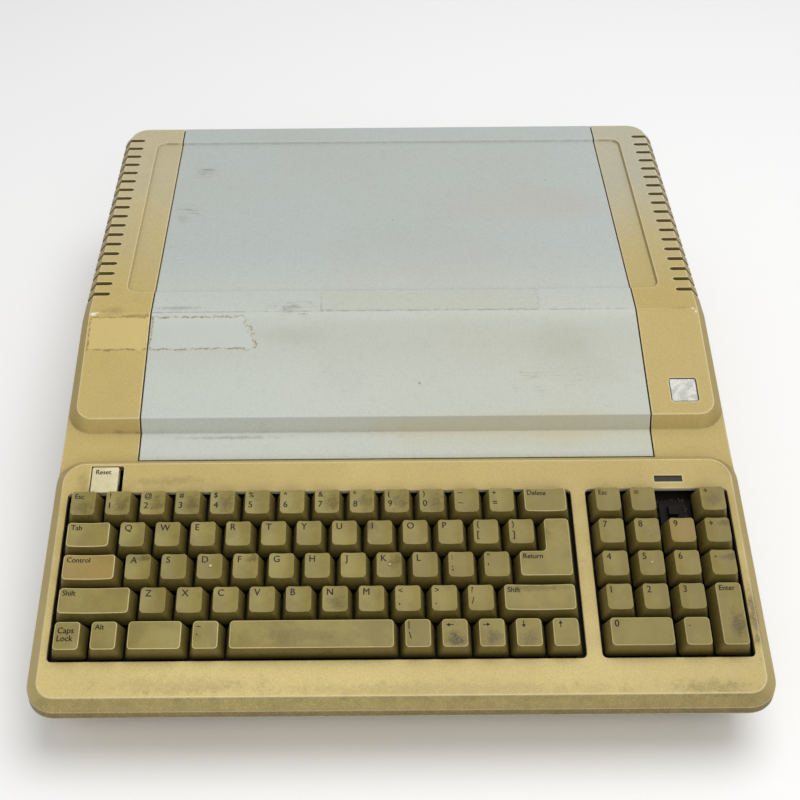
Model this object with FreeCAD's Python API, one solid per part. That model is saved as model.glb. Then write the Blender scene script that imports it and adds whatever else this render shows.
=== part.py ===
import FreeCAD
import Part
import math
import os
from FreeCAD import Placement, Rotation, Vector

# Desktop computer with a built-in keyboard. Millimetres, +X right, +Y to the
# rear, +Z up. The origin is on the table, under the middle of the case.

# Overall
case_width = 387.4
case_depth = 457.2
case_height = 108.0
foot_height = 4.0
base_thickness = 1.6
wall = 3.0
form_overlap = 2.0
cut_past = 5.0

# Side form: widest at the belt, drafted above it and undercut below it
belt_height = 36.4
draft_angle = 2.7
belt_corner_radius = 16.5
undercut_side = 9.0
undercut_front = 24.0
undercut_rear = 4.0

# Keyboard deck, a raised plateau on the sloping front
slope_angle = 14.7
deck_front_setback = 3.9
deck_front_height = 49.0
deck_rear_margin = 18.43
deck_side_setback = 7.1
deck_rise = 9.7
deck_bevel = 8.2
deck_rear_bevel = 6.9
deck_front_radius = 9.5
deck_rear_radius = 12.0

# Hood behind the keyboard, first sloping and then level
valley_length = 18.2
hood_rise = 7.3
hood_bevel = 6.2
hood_side_setback = 8.4
hood_rear_setback = 9.2
hood_front_radius = 9.5
hood_rear_radius = 12.0

# Shallow seat for a monitor in the level top
seat_depth = 1.4
seat_side_margin = 19.5
seat_front_margin = 20.4
seat_rear_margin = 17.8
seat_radius = 6.0
seat_edge_slope = 1.2

# Lid over the card bay
lid_side_margin = 38.0
lid_wall = 3.0
lid_seam = 0.9
lid_front_gap = 0.6
lid_lip_drop = 15.0
lid_rib_depth = 5.0
lid_rib_thickness = 2.0
lid_rib_setback = 8.0
lid_rib_pitch = 55.0
lid_rib_front_gap = 12.0
lid_rib_rear_gap = 3.0
lid_lip_length = 13.0
ledge_width = 4.0
ledge_thickness = 2.4
ledge_rear_gap = 1.0

# Ventilation slots over the outer edges of the hood
vent_count = 18
vent_pitch = 10.36
vent_width = 3.2
vent_reach = 9.8
vent_depth = 20.0
vent_rear_setback = 24.1

# Keys; their pitch is what the width of the deck leaves, 19.05
key_column_count = 18.5
main_column_count = 14.5
key_row_count = 5
key_gap = 1.05
key_margin = 1.36
well_front_margin = 19.0
well_side_margin = 3.7175
well_divider = 7.9
well_radius = 2.7
key_height = 8.0
key_skirt = 2.5
key_side_taper = 2.45
key_front_taper = 2.9
key_rear_taper = 1.0
key_flat_taper = 1.9
key_dish_depth = 0.7
key_shell = 1.4
key_travel = 3.5
stem_size = 5.4
stem_clearance = 0.1
stem_reach = 12.0
switch_size = 13.9
switch_top = 8.0
switch_bore_floor = 1.0
plate_depth = 13.0
plate_thickness = 1.5
plate_front_margin = 10.0
plate_rear_gap = 1.5
plate_side_margin = 1.5
plate_hole_clearance = 0.05
board_depth = 17.5
board_thickness = 1.6
key_board_margin = 2.0
key_boss_radius = 3.2
key_boss_gap = 1.3
front_boss_shares = (-0.8, -0.27, 0.27, 0.8)
rear_boss_shares = (-0.64, -0.11, 0.43, 0.92)

# Reset key in its own window behind the first number keys
reset_side_margin = 15.0
reset_width = 18.3
reset_rear_margin = 1.6
reset_side_gap = 0.6
reset_open_gap = 2.8
reset_key_length = 16.0
reset_lift = 0.2
reset_press_gap = 0.3

# Power lamp and badge
lamp_side_margin = 27.5
lamp_width = 15.7
lamp_length = 3.9
lamp_rear_margin = 10.3
lamp_recess = 0.8
lamp_clearance = 0.2
lamp_flange = 2.0
lamp_flange_thickness = 1.5
badge_size = 16.2
badge_right_margin = 8.3
badge_front_margin = 8.4
badge_depth = 1.2
badge_thickness = 0.7
badge_clearance = 0.2
badge_radius = 1.6

# Rear panel, behind an opening in the case
panel_side_margin = 18.2
panel_top_gap = 16.4
panel_thickness = 1.2
panel_inset = 6.4
panel_flange = 8.0
panel_opening_gap = 0.5
panel_overlap = 4.0
panel_flange_gap = 1.0
cover_height = 14.0
cover_wide = 47.0
cover_narrow = 25.0
cover_flange = 2.0
cover_flange_thickness = 1.0
cover_clearance = 0.2
cover_depth = 3.0
wide_cover_pitch = 56.0
narrow_cover_pitch = 34.0
covers_left_gap = 7.7
covers_right_gap = 20.0
cover_rows = (0.395, 0.675)

# Power supply
supply_width = 84.0
supply_length = 238.0
supply_top_gap = 14.0
supply_left_gap = 8.5
supply_rear_gap = 1.5
supply_face_margin = 5.0
supply_face_reach = 3.6
supply_face_clearance = 0.5
supply_wall = 1.2
supply_slot_count = 9
supply_slot_pitch = 15.9
supply_slot_width = 3.0
supply_slot_margin = 14.0
inlet_share = 0.3
inlet_width = 27.0
inlet_height = 20.0
inlet_depth = 18.0
inlet_wall = 1.6
inlet_flange = 2.5
inlet_flange_thickness = 1.5
pin_width = 2.0
pin_height = 4.0
pin_recess = 2.0
pin_places = ((-7.0, 0.0), (0.0, 4.0), (7.0, 0.0))
rocker_share = 0.76
rocker_width = 13.0
rocker_height = 21.0
rocker_depth = 12.0
rocker_gap = 0.4
rocker_end_gap = 1.2
rocker_tilt = 9.0
rocker_lift = 1.0
rocker_hollow = 0.8
rocker_end_depth = 4.0
rocker_middle_depth = 7.0
rocker_pivot_depth = 1.0
rocker_frame = 2.0
axle_radius = 1.2
axle_clearance = 0.05
axle_grip = 1.5

# Main board and what it carries
main_left_gap = 3.9
main_length = 268.0
main_right_gap = 9.0
main_rear_gap = 4.0
standoff_height = 8.0
standoff_radius = 3.0
slot_count = 7
slot_pitch = 21.6
slot_length = 76.0
slot_width = 9.0
slot_height = 12.0
slot_groove = 2.0
slot_rear_gap = 20.0
slot_first = 60.0
slot_end_wall = 4.0
slot_floor = 3.0
short_slot_place = (22.0, 110.0)
standoff_margin = 12.0
# Chip rows: first corner on the board, size and pitch; each row fills the width of the board
chip_height = 4.0
chip_right_margin = 20.0
chip_rows = (
    (60.0, 92.0, 52.0, 15.0, 62.0), (62.0, 62.0, 34.0, 15.0, 46.0),
    (60.0, 118.0, 8.0, 20.0, 24.0), (60.0, 144.0, 8.0, 20.0, 24.0),
)

# Connectors at the rear edge of the main board
port_rise = 7.0
port_depth = 12.0
port_reach = 4.5
port_clearance = 0.3
game_port_margin = 22.7
game_port_width = 17.0
game_port_height = 8.4
game_body_half = 15.0
game_body_rise = 2.0
jack_margins = (44.7, 60.7)
jack_radius = 3.0
jack_bore = 1.75
jack_body_half = 6.0
jack_reach = 2.5
video_margin = 80.7
video_radius = 4.2
video_bore = 1.6
video_body_half = 7.0

# Lead between the keyboard and the main board
ribbon_width = 30.0
ribbon_thickness = 1.2
ribbon_place = 120.0
ribbon_step_count = 12
ribbon_bend = 14.0
plug_height = 8.0
plug_depth = 8.0
plug_overhang = 2.0
plug_reach = 100.0
header_margin = 6.0

# Speaker, screw bores and feet
speaker_radius = 28.0
speaker_magnet_radius = 13.0
speaker_cap_radius = 8.0
speaker_height = 18.0
speaker_rim = 3.0
speaker_skin = 2.0
speaker_side_margin = 73.7
speaker_setback = 85.0
screw_bore = 1.5
key_screw_bore = 1.3
front_screw_shares = (-0.72, -0.26, 0.26, 0.72)
side_screw_shares = (-0.39, 0.13, 0.79)
boss_radius = 4.0
boss_height = 24.0
boss_wall_bite = 0.5
boss_cap = 2.0
foot_radius = 9.0
foot_inset = 26.0

slope = math.radians(slope_angle)
draft = math.tan(math.radians(draft_angle))
shell_low = foot_height + base_thickness
front_y = -case_depth / 2
rear_y = case_depth / 2
deck_front_y = front_y + deck_front_setback
deck_half = case_width / 2 - deck_side_setback
hood_half = case_width / 2 - hood_side_setback
lid_half = hood_half - lid_side_margin
well_half = deck_half - well_side_margin
key_pitch = (2 * well_half - 4 * key_margin - well_divider) / key_column_count
well_length = key_row_count * key_pitch + 2 * key_margin
deck_length = well_front_margin + well_length + deck_rear_margin
deck_frame = Placement(Vector(0, deck_front_y, deck_front_height), Rotation(Vector(1, 0, 0), slope_angle))
valley_front = deck_length + deck_rear_bevel
hood_crest = valley_front + valley_length + hood_bevel
hood_drop = deck_rise - hood_rise
lamp_left = deck_half - lamp_side_margin - lamp_width
panel_rear = rear_y - panel_inset
panel_front = panel_rear - panel_thickness
panel_half = case_width / 2 - panel_side_margin
panel_height = case_height - shell_low - panel_top_gap
supply_height = panel_height - supply_top_gap
far = 60.0


# Basic shapes

def rectangle(x0, x1, y0, y1):
    return [(x0, y0), (x1, y0), (x1, y1), (x0, y1)]


def corner_arcs(corners, radii, height):
    # Start, middle, end and centre of the arc that rounds each corner
    arcs = []
    for i, radius in enumerate(radii):
        corner = Vector(*corners[i], height)
        if radius == 0:
            arcs.append((corner, corner, corner, corner))
            continue
        back = (Vector(*corners[i - 1], height) - corner).normalize()
        ahead = (Vector(*corners[(i + 1) % len(corners)], height) - corner).normalize()
        half = back.getAngle(ahead) / 2
        reach = radius / math.tan(half)
        centre = corner + (back + ahead).normalize() * (radius / math.sin(half))
        middle = centre + (corner - centre).normalize() * radius
        arcs.append((corner + back * reach, middle, corner + ahead * reach, centre))
    return arcs


def outline(corners, radii, height):
    # Closed wire through the corners, each rounded by its own arc
    arcs = corner_arcs(corners, radii, height)
    edges = []
    for i, (start, middle, end, centre) in enumerate(arcs):
        if radii[i] > 0:
            edges.append(Part.Arc(start, middle, end).toShape())
        edges.append(Part.LineSegment(end, arcs[(i + 1) % len(arcs)][0]).toShape())
    return Part.Wire(edges)


def facets(corners, radii):
    # The same outline with two flats in place of each arc
    points = []
    for start, middle, end, centre in corner_arcs(corners, radii, 0):
        points += [(start.x, start.y)]
        if start != end:
            points += [(middle.x, middle.y), (end.x, end.y)]
    return points


def corner_face(low, high):
    # A cone where both arcs share an axis, and otherwise a ruled surface
    if math.hypot(low[3].x - high[3].x, low[3].y - high[3].y) < 1e-6:
        return Part.LineSegment(low[0], high[0]).toShape().revolve(low[3], Vector(0, 0, 1), 90)
    return Part.makeRuledSurface(Part.Arc(*low[:3]).toShape(), Part.Arc(*high[:3]).toShape())


def taper(low_corners, low_radii, z0, high_corners, high_radii, z1, faceted=False):
    # Solid between two like outlines at two heights, with flat flanks
    if faceted:
        low_corners, high_corners = facets(low_corners, low_radii), facets(high_corners, high_radii)
        low_radii = high_radii = [0] * len(low_corners)
    lows = corner_arcs(low_corners, low_radii, z0)
    highs = corner_arcs(high_corners, high_radii, z1)
    faces = [Part.Face(outline(low_corners, low_radii, z0)), Part.Face(outline(high_corners, high_radii, z1))]
    for i, (low, high) in enumerate(zip(lows, highs)):
        if low_radii[i] > 0:
            faces.append(corner_face(low, high))
        after = (i + 1) % len(lows)
        flank = [low[2], lows[after][0], highs[after][0], high[2], low[2]]
        faces.append(Part.Face(Part.makePolygon(flank)))
    shell = Part.makeShell(faces)
    shell.sewShape()
    solid = Part.Solid(shell)
    if solid.Volume < 0:
        solid.reverse()
    return solid


def block(x0, x1, y0, y1, z0, z1):
    return Part.makeBox(x1 - x0, y1 - y0, z1 - z0, Vector(x0, y0, z0))


def plate(corners, radii, z0, z1):
    return Part.Face(outline(corners, radii, z0)).extrude(Vector(0, 0, z1 - z0))


def side_prism(points, half):
    # Side-view polygon of (y, z) points, extruded across the case
    wire = Part.makePolygon([Vector(-half, y, z) for y, z in points + points[:1]])
    return Part.Face(wire).extrude(Vector(2 * half, 0, 0))


def ring(x, y, radius, sides):
    turns = [2 * math.pi * (k + 0.5) / sides for k in range(sides)]
    return [(x + radius * math.cos(turn), y + radius * math.sin(turn)) for turn in turns]


def post(x, y, z0, z1, radius, sides=8):
    return plate(ring(x, y, radius, sides), [0] * sides, z0, z1)


def rod_y(x, z, y0, y1, radius):
    return Part.makeCylinder(radius, y1 - y0, Vector(x, y0, z), Vector(0, 1, 0))


def rod_x(x0, x1, y, z, radius):
    return Part.makeCylinder(radius, x1 - x0, Vector(x0, y, z), Vector(1, 0, 0))


def on_slope(shape):
    # From deck coordinates (across, up the slope, off the deck) to the case
    moved = shape.copy()
    moved.Placement = deck_frame.multiply(shape.Placement)
    return moved


def plane_height(y, lift):
    # Height at y of the plane that lies that far off the deck
    return deck_front_height + (y - deck_front_y) * math.tan(slope) + lift / math.cos(slope)


def plane_reach(z, lift):
    return deck_front_y + (z - deck_front_height - lift / math.cos(slope)) / math.tan(slope)


def row_count(start, end, width, pitch):
    # How many pieces of that width and pitch fit from start to end
    return int((end - start - width) / pitch) + 1


def save(name, shape):
    shape.exportStep("parts/" + name + ".step")
    print(name, len(shape.Solids), round(shape.Volume))


# Case form, as one solid; an inset gives the cavity and the layers below the skin

def wall_section(z, inset):
    if z >= belt_height:
        side = front = rear = (z - belt_height) * draft
    else:
        share = (belt_height - z) / (belt_height - shell_low)
        side, front, rear = undercut_side * share, undercut_front * share, undercut_rear * share
    half = case_width / 2 - side - inset
    return rectangle(-half, half, front_y + front + inset, rear_y - rear - inset)


def walls(inset):
    radii = [belt_corner_radius - inset] * 4
    low = shell_low if inset == 0 else shell_low - 1
    belt = wall_section(belt_height, inset)
    low_part = taper(wall_section(low, inset), radii, low, belt, radii, belt_height, inset > 0)
    top = case_height + form_overlap
    top_radii = [belt_corner_radius - inset - (top - belt_height) * draft] * 4
    high_part = taper(belt, radii, belt_height, wall_section(top, inset), top_radii, top, inset > 0)
    return low_part.fuse(high_part)


def deck_block(inset):
    share = (deck_rise + form_overlap) / deck_rise
    side = deck_bevel * share
    rear = deck_rear_bevel * share
    half = deck_half - inset
    top = rectangle(-half, half, inset, deck_length - inset)
    low = rectangle(-half - side, half + side, inset - side, deck_length - inset + rear)
    front_radius = max(deck_front_radius - inset, 1.0)
    rear_radius = max(deck_rear_radius - inset, 1.0)
    radii = [front_radius, front_radius, rear_radius, rear_radius]
    low_radii = [front_radius + side, front_radius + side, rear_radius + rear, rear_radius + rear]
    return on_slope(taper(low, low_radii, -deck_rise - form_overlap - inset, top, radii, -inset,
                          inset > 0))


def hood_break(inset):
    return plane_reach(case_height - inset, -hood_drop - inset)


def hood_block(inset):
    half = hood_half - inset
    radius = max(hood_front_radius - inset, 1.0)
    spread = hood_bevel * (hood_rise + form_overlap) / hood_rise
    beyond = (hood_break(inset) - deck_front_y) / math.cos(slope) + far
    top = rectangle(-half, half, hood_crest + inset, beyond)
    low = rectangle(-half - spread, half + spread, hood_crest + inset - spread, beyond)
    radii = [radius, radius, 0, 0]
    low_radii = [radius + spread, radius + spread, 0, 0]
    lift = -hood_drop - inset
    sloped = on_slope(taper(low, low_radii, lift - hood_rise - form_overlap, top, radii, lift, inset > 0))
    wide = case_width / 2 + far
    sloped = sloped.common(block(-wide, wide, front_y, hood_break(inset), 0, case_height + far))

    radius = max(hood_rear_radius - inset, 1.0)
    depth = (hood_rise + form_overlap) / math.cos(slope)
    rear_edge = rear_y - hood_rear_setback - inset
    top = rectangle(-half, half, hood_break(inset), rear_edge)
    low = rectangle(-half - spread, half + spread, hood_break(inset), rear_edge + spread)
    radii = [0, 0, radius, radius]
    low_radii = [0, 0, radius + spread, radius + spread]
    level = case_height - inset
    return sloped.fuse(taper(low, low_radii, level - depth, top, radii, level, inset > 0))


def valley_block(inset):
    lift = -deck_rise - inset
    shelf = case_height - inset - hood_rise / math.cos(slope)
    shelf_front = plane_reach(shelf, lift)
    start = front_y - far
    points = [(start, -far), (rear_y + far, -far), (rear_y + far, shelf), (shelf_front, shelf)]
    points.append((start, plane_height(start, lift)))
    return side_prism(points, case_width / 2 + far)


forms = {}


def case_form(inset):
    if inset not in forms:
        top = valley_block(inset).fuse([deck_block(inset), hood_block(inset)])
        forms[inset] = walls(inset).common(top).removeSplitter()
    return forms[inset]


def monitor_seat():
    half = hood_half - seat_side_margin
    front = hood_break(0) + seat_front_margin
    rear = rear_y - hood_rear_setback - seat_rear_margin
    rise = 1.0
    spread = seat_edge_slope * (1 + rise / seat_depth)
    brim = rectangle(-half, half, front, rear)
    low = shrink(brim, seat_edge_slope, seat_edge_slope, seat_edge_slope)
    high = shrink(low, -spread, -spread, -spread)
    high_radii = [seat_radius + spread] * 4
    return taper(low, [seat_radius] * 4, case_height - seat_depth, high, high_radii, case_height + rise)


# Keys: name, first column, row from the front, width and height in key units

main_left = -well_half
main_right = main_left + main_column_count * key_pitch + 2 * key_margin
pad_left = main_right + well_divider
pad_right = well_half

main_keys = [
    ("key_esc", 0, 4, 1, 1), ("key_delete", 13, 4, 1.5, 1), ("key_tab", 0, 3, 1.5, 1),
    ("key_control", 0, 2, 1.75, 1), ("key_shift_left", 0, 1, 2.25, 1), ("key_shift_right", 12.25, 1, 2.25, 1),
    ("key_caps_lock", 0, 0, 1, 1), ("key_alt", 1, 0, 1, 1), ("key_command", 2, 0, 1.75, 1),
    ("key_accent", 3.75, 0, 1, 1), ("key_space", 4.75, 0, 4.75, 1), ("key_backslash", 9.5, 0, 1, 1),
    ("key_left", 10.5, 0, 1, 1), ("key_right", 11.5, 0, 1, 1),
    ("key_down", 12.5, 0, 1, 1), ("key_up", 13.5, 0, 1, 1),
]
key_rows = [
    ("keys_numbers", 1, 4, 12), ("keys_top_letters", 1.5, 3, 12),
    ("keys_home_letters", 1.75, 2, 11), ("keys_bottom_letters", 2.25, 1, 10),
]
pad_keys = [
    ("pad_esc", 0, 4, 1, 1), ("pad_equals", 1, 4, 1, 1), ("pad_star", 3, 4, 1, 1),
    ("pad_7", 0, 3, 1, 1), ("pad_8", 1, 3, 1, 1), ("pad_9", 2, 3, 1, 1), ("pad_plus", 3, 3, 1, 1),
    ("pad_4", 0, 2, 1, 1), ("pad_5", 1, 2, 1, 1), ("pad_6", 2, 2, 1, 1), ("pad_minus", 3, 2, 1, 1),
    ("pad_1", 0, 1, 1, 1), ("pad_2", 1, 1, 1, 1), ("pad_3", 2, 1, 1, 1), ("pad_enter", 3, 0, 1, 2),
    ("pad_0", 0, 0, 2, 1), ("pad_point", 2, 0, 1, 1),
]
bare_switch = (2, 4)
return_upper = (13.5, 3, 1)
return_lower = (12.75, 2, 1.75)


def cell(left, column, row, width, height):
    x0 = left + key_margin + column * key_pitch
    y0 = well_front_margin + key_margin + row * key_pitch
    return rectangle(x0, x0 + width * key_pitch, y0, y0 + height * key_pitch)


def shrink(corners, side, front, rear):
    xs = [x for x, y in corners]
    ys = [y for x, y in corners]
    return rectangle(min(xs) + side, max(xs) - side, min(ys) + front, max(ys) - rear)


def stem(x, y, top):
    half = stem_size / 2
    return block(x - half, x + half, y - half, y + half, -stem_reach, top)


def keycap(corners, dished):
    # Tapered hollow cap with a stem that runs in its switch
    base = shrink(corners, key_gap / 2, key_gap / 2, key_gap / 2)
    if dished:
        top = shrink(base, key_side_taper, key_front_taper, key_rear_taper)
    else:
        top = shrink(base, key_side_taper, key_flat_taper, key_rear_taper)
    sharp = [0] * 4
    body = taper(base, sharp, -key_skirt, top, sharp, key_height)
    low_room = shrink(base, key_shell, key_shell, key_shell)
    high_room = shrink(top, key_shell, key_shell, key_shell)
    ceiling = key_height - key_dish_depth - key_shell
    body = body.cut(taper(low_room, sharp, -key_skirt, high_room, sharp, ceiling))
    x = (base[0][0] + base[1][0]) / 2
    y = (base[0][1] + base[2][1]) / 2
    body = body.fuse(stem(x, y, ceiling + key_shell / 2))
    if dished:
        body = body.cut(dish(top))
    return body


def dish(top):
    # Shallow cylinder along the slope, as wide as the top of the cap
    half = (top[1][0] - top[0][0]) / 2
    radius = (half * half + key_dish_depth * key_dish_depth) / (2 * key_dish_depth)
    centre = Vector((top[0][0] + top[1][0]) / 2, top[0][1] - far, key_height - key_dish_depth + radius)
    return Part.makeCylinder(radius, top[2][1] - top[0][1] + 2 * far, centre, Vector(0, 1, 0))


def return_key():
    upper = cell(main_left, return_upper[0], return_upper[1], return_upper[2], 1)
    lower = cell(main_left, return_lower[0], return_lower[1], return_lower[2], 1)
    gap = key_gap / 2
    left, notch, right = lower[0][0] + gap, upper[0][0] + gap, lower[1][0] - gap
    front, step, rear = lower[0][1] + gap, lower[2][1] - gap, upper[2][1] - gap

    def ell(side, front_in, rear_in):
        return [(left + side, front + front_in), (right - side, front + front_in),
                (right - side, rear - rear_in), (notch + side, rear - rear_in),
                (notch + side, step - rear_in), (left + side, step - rear_in)]

    ceiling = key_height - key_dish_depth - key_shell
    sharp = [0] * 6
    body = taper(ell(0, 0, 0), sharp, -key_skirt, ell(key_side_taper, key_front_taper, key_rear_taper), sharp,
                 key_height)
    high_room = ell(key_side_taper + key_shell, key_front_taper + key_shell, key_rear_taper + key_shell)
    room = taper(ell(key_shell, key_shell, key_shell), sharp, -key_skirt, high_room, sharp, ceiling)
    x, y = return_switch()
    return body.cut(room).fuse(stem(x, y, ceiling + key_shell / 2))


def return_switch():
    lower = cell(main_left, return_lower[0], return_lower[1], return_lower[2], 1)
    return (lower[0][0] + lower[1][0]) / 2, (lower[0][1] + lower[2][1]) / 2


reset_left = -deck_half + reset_side_margin
reset_right = reset_left + reset_width
reset_rear = deck_length - reset_rear_margin
reset_key_rear = reset_rear - reset_side_gap
reset_x = (reset_left + reset_side_gap + reset_right - reset_open_gap) / 2
reset_y = reset_key_rear - reset_key_length / 2


def reset_key():
    left, right = reset_left + reset_side_gap, reset_right - reset_open_gap
    front = reset_key_rear - reset_key_length
    low = reset_press_gap + key_travel - switch_top
    cap = block(left, right, front, reset_key_rear, low, reset_lift)
    room = block(left + key_shell, right - key_shell, front + key_shell, reset_key_rear - key_shell,
                 low, reset_lift - key_shell)
    return cap.cut(room).fuse(stem(reset_x, reset_y, reset_lift - key_shell / 2))


def switch_places():
    # Centre of every switch, in deck coordinates
    places = [(reset_x, reset_y), return_switch()]
    cells = [cell(main_left, *key[1:]) for key in main_keys]
    for name, column, row, count in key_rows:
        cells += [cell(main_left, column + i, row, 1, 1) for i in range(count)]
    cells += [cell(pad_left, *key[1:]) for key in pad_keys]
    cells.append(cell(pad_left, bare_switch[0], bare_switch[1], 1, 1))
    for corners in cells:
        places.append(((corners[0][0] + corners[1][0]) / 2, (corners[0][1] + corners[2][1]) / 2))
    return places


def make_keys():
    for key in main_keys:
        save(key[0], on_slope(keycap(cell(main_left, *key[1:]), key[2] > 0)))
    for key in pad_keys:
        save(key[0], on_slope(keycap(cell(pad_left, *key[1:]), key[2] > 0)))
    for name, column, row, count in key_rows:
        caps = [keycap(cell(main_left, column + i, row, 1, 1), True) for i in range(count)]
        save(name, on_slope(Part.makeCompound(caps)))
    save("key_return", on_slope(return_key()))
    save("key_reset", on_slope(reset_key()))


plate_rear = valley_front - ledge_width - plate_rear_gap
plate_half = deck_half - plate_side_margin
front_bosses = well_front_margin - key_boss_radius - key_boss_gap
rear_bosses = well_front_margin + well_length + key_boss_radius + key_boss_gap
deck_boss_places = [(share * deck_half, front_bosses) for share in front_boss_shares]
deck_boss_places += [(share * deck_half, rear_bosses) for share in rear_boss_shares]


def make_keyboard():
    sheet = block(-plate_half, plate_half, plate_front_margin, plate_rear,
                  -plate_depth - plate_thickness, -plate_depth)
    half = switch_size / 2 + plate_hole_clearance
    plate_cut = (-plate_depth - cut_past, -plate_depth + cut_past)
    holes = []
    housings = []
    bore_half = stem_size / 2 + stem_clearance
    for x, y in switch_places():
        holes.append(block(x - half, x + half, y - half, y + half, *plate_cut))
        side = switch_size / 2
        housing = block(x - side, x + side, y - side, y + side, -board_depth, -switch_top)
        bore = block(x - bore_half, x + bore_half, y - bore_half, y + bore_half,
                     -board_depth + switch_bore_floor, -switch_top)
        housings.append(housing.cut(bore))
    corners = cell(pad_left, bare_switch[0], bare_switch[1], 1, 1)
    x, y = (corners[0][0] + corners[1][0]) / 2, (corners[0][1] + corners[2][1]) / 2
    half_stem = stem_size / 2
    housings.append(block(x - half_stem, x + half_stem, y - half_stem, y + half_stem,
                          -board_depth + switch_bore_floor, -switch_top + key_travel))
    for x, y in deck_boss_places:
        holes.append(post(x, y, *plate_cut, key_screw_bore))
    save("keyboard_plate", on_slope(sheet.cut(holes)))
    save("key_switches", on_slope(Part.makeCompound(housings)))
    half = plate_half - key_board_margin
    board = block(-half, half, well_front_margin, plate_rear - key_board_margin,
                  -board_depth - board_thickness, -board_depth)
    save("keyboard_board", on_slope(board))


# Upper case

def base_screw_places():
    low = wall_section(shell_low, wall)
    x_side = low[1][0] - boss_radius + boss_wall_bite
    y_front = low[0][1] + boss_radius - boss_wall_bite
    places = [(share * case_width / 2, y_front) for share in front_screw_shares]
    for share in side_screw_shares:
        y = share * case_depth / 2
        places += [(-x_side, y), (x_side, y)]
    return places


def lid_opening():
    half = lid_half + lid_seam
    top = deck_frame.multVec(Vector(0, valley_front, far))
    low = deck_frame.multVec(Vector(0, valley_front, -deck_rise - wall - 1))
    end = rear_y + far
    return side_prism([(top.y, top.z), (low.y, low.z), (end, low.z), (end, top.z + far)], half)


def lid_ledge():
    layer = case_form(lid_wall).cut(case_form(lid_wall + ledge_thickness))
    inner, outer = lid_half - ledge_width, lid_half + lid_seam + ledge_width
    start = deck_frame.multVec(Vector(0, valley_front - ledge_width, -deck_rise)).y
    end = panel_front - ledge_rear_gap
    low = foot_height + belt_height
    zone = block(-outer, -inner, start, end, low, case_height)
    zone = zone.fuse(block(inner, outer, start, end, low, case_height))
    cross = on_slope(block(-outer, outer, valley_front - ledge_width, valley_front + ledge_width, -far, 0))
    return layer.common(zone.fuse(cross))


def vents():
    cutters = []
    radius = vent_width / 2
    inner = hood_half - vent_reach + radius
    outer = case_width / 2 + cut_past
    last = rear_y - vent_rear_setback
    low = case_height - vent_depth
    for i in range(vent_count):
        y = last - i * vent_pitch
        tip, side = inner - radius, radius / 2
        corners = [(outer, y - radius), (outer, y + radius), (inner, y + radius), (tip, y + side),
                   (tip, y - side), (inner, y - radius)]
        slot = plate(corners, [0] * 6, low, case_height + cut_past)
        cutters.append(slot)
        cutters.append(slot.mirror(Vector(0, 0, 0), Vector(1, 0, 0)))
    return cutters


def deck_cuts():
    low, high = -wall - cut_past, cut_past
    front, rear = well_front_margin, well_front_margin + well_length
    main_well = plate(rectangle(main_left, main_right, front, rear), [well_radius] * 4, low, high)
    pad_well = plate(rectangle(pad_left, pad_right, front, rear), [well_radius] * 4, low, high)
    window = rectangle(reset_left, reset_right, rear - cut_past, reset_rear)
    window = plate(window, [0, 0, well_radius / 2, 0], low, high)
    lamp_rear = deck_length - lamp_rear_margin
    lamp = block(lamp_left, lamp_left + lamp_width, lamp_rear - lamp_length, lamp_rear, low, high)
    return on_slope(main_well.fuse([pad_well, window, lamp]))


def badge_zone(clearance, z0, z1):
    right = hood_half - badge_right_margin - clearance
    left = right - badge_size + 2 * clearance
    front = hood_crest + badge_front_margin + clearance
    rear = front + badge_size - 2 * clearance
    return plate(rectangle(left, right, front, rear), [badge_radius - clearance] * 4, z0, z1)


def make_upper_case():
    shell = case_form(0).cut(case_form(wall))
    shell = shell.cut(lid_opening())
    opening = panel_half + panel_opening_gap
    inside = panel_front - panel_flange
    shell = shell.cut(block(-opening, opening, inside, rear_y + cut_past, 0,
                            shell_low + panel_height - panel_overlap))
    bosses = []
    cuts = [monitor_seat(), deck_cuts()] + vents()
    cuts.append(on_slope(badge_zone(0, -hood_drop - badge_depth, far)))
    for x, y in deck_boss_places:
        bosses.append(on_slope(post(x, y, -plate_depth, -wall / 2, key_boss_radius)))
        cuts.append(on_slope(post(x, y, -plate_depth - 1, -wall, key_screw_bore)))
    for x, y in base_screw_places():
        bosses.append(post(x, y, shell_low, shell_low + boss_height, boss_radius))
        cuts.append(post(x, y, shell_low - 1, shell_low + boss_height - boss_cap, screw_bore))
    bosses = Part.makeCompound(bosses).common(case_form(0))
    shell = shell.fuse([lid_ledge(), bosses]).removeSplitter()
    shell = shell.cut(cuts)
    save("upper_case", shell)


def make_lid():
    skin = case_form(0).cut(monitor_seat()).cut(case_form(lid_wall))
    top = deck_frame.multVec(Vector(0, valley_front + lid_front_gap, far))
    low = deck_frame.multVec(Vector(0, valley_front + lid_front_gap, -deck_rise - lid_rib_depth - cut_past))
    end = rear_y + far
    zone = side_prism([(top.y, top.z), (low.y, low.z), (end, low.z), (end, top.z + far)], lid_half)
    lip = block(-lid_half - 1, lid_half + 1, rear_y - lid_lip_length, end, 0, case_height - lid_lip_drop)
    skin = skin.common(zone).cut(lip)

    layer = case_form(lid_wall - 0.2).cut(case_form(lid_wall + lid_rib_depth))
    inner = lid_half - lid_rib_setback
    start = low.y + lid_rib_front_gap
    stop = rear_y - panel_inset - panel_thickness - panel_flange - lid_rib_rear_gap
    ribs = [block(inner - lid_rib_thickness, inner, start, stop, 0, case_height)]
    ribs.append(block(-inner, -inner + lid_rib_thickness, start, stop, 0, case_height))
    y = start
    while y < stop:
        ribs.append(block(-inner, inner, y, y + lid_rib_thickness, 0, case_height))
        y += lid_rib_pitch
    ribs = layer.common(ribs[0].fuse(ribs[1:]))
    save("lid", skin.fuse(ribs).removeSplitter())


# Base plate and feet

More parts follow.
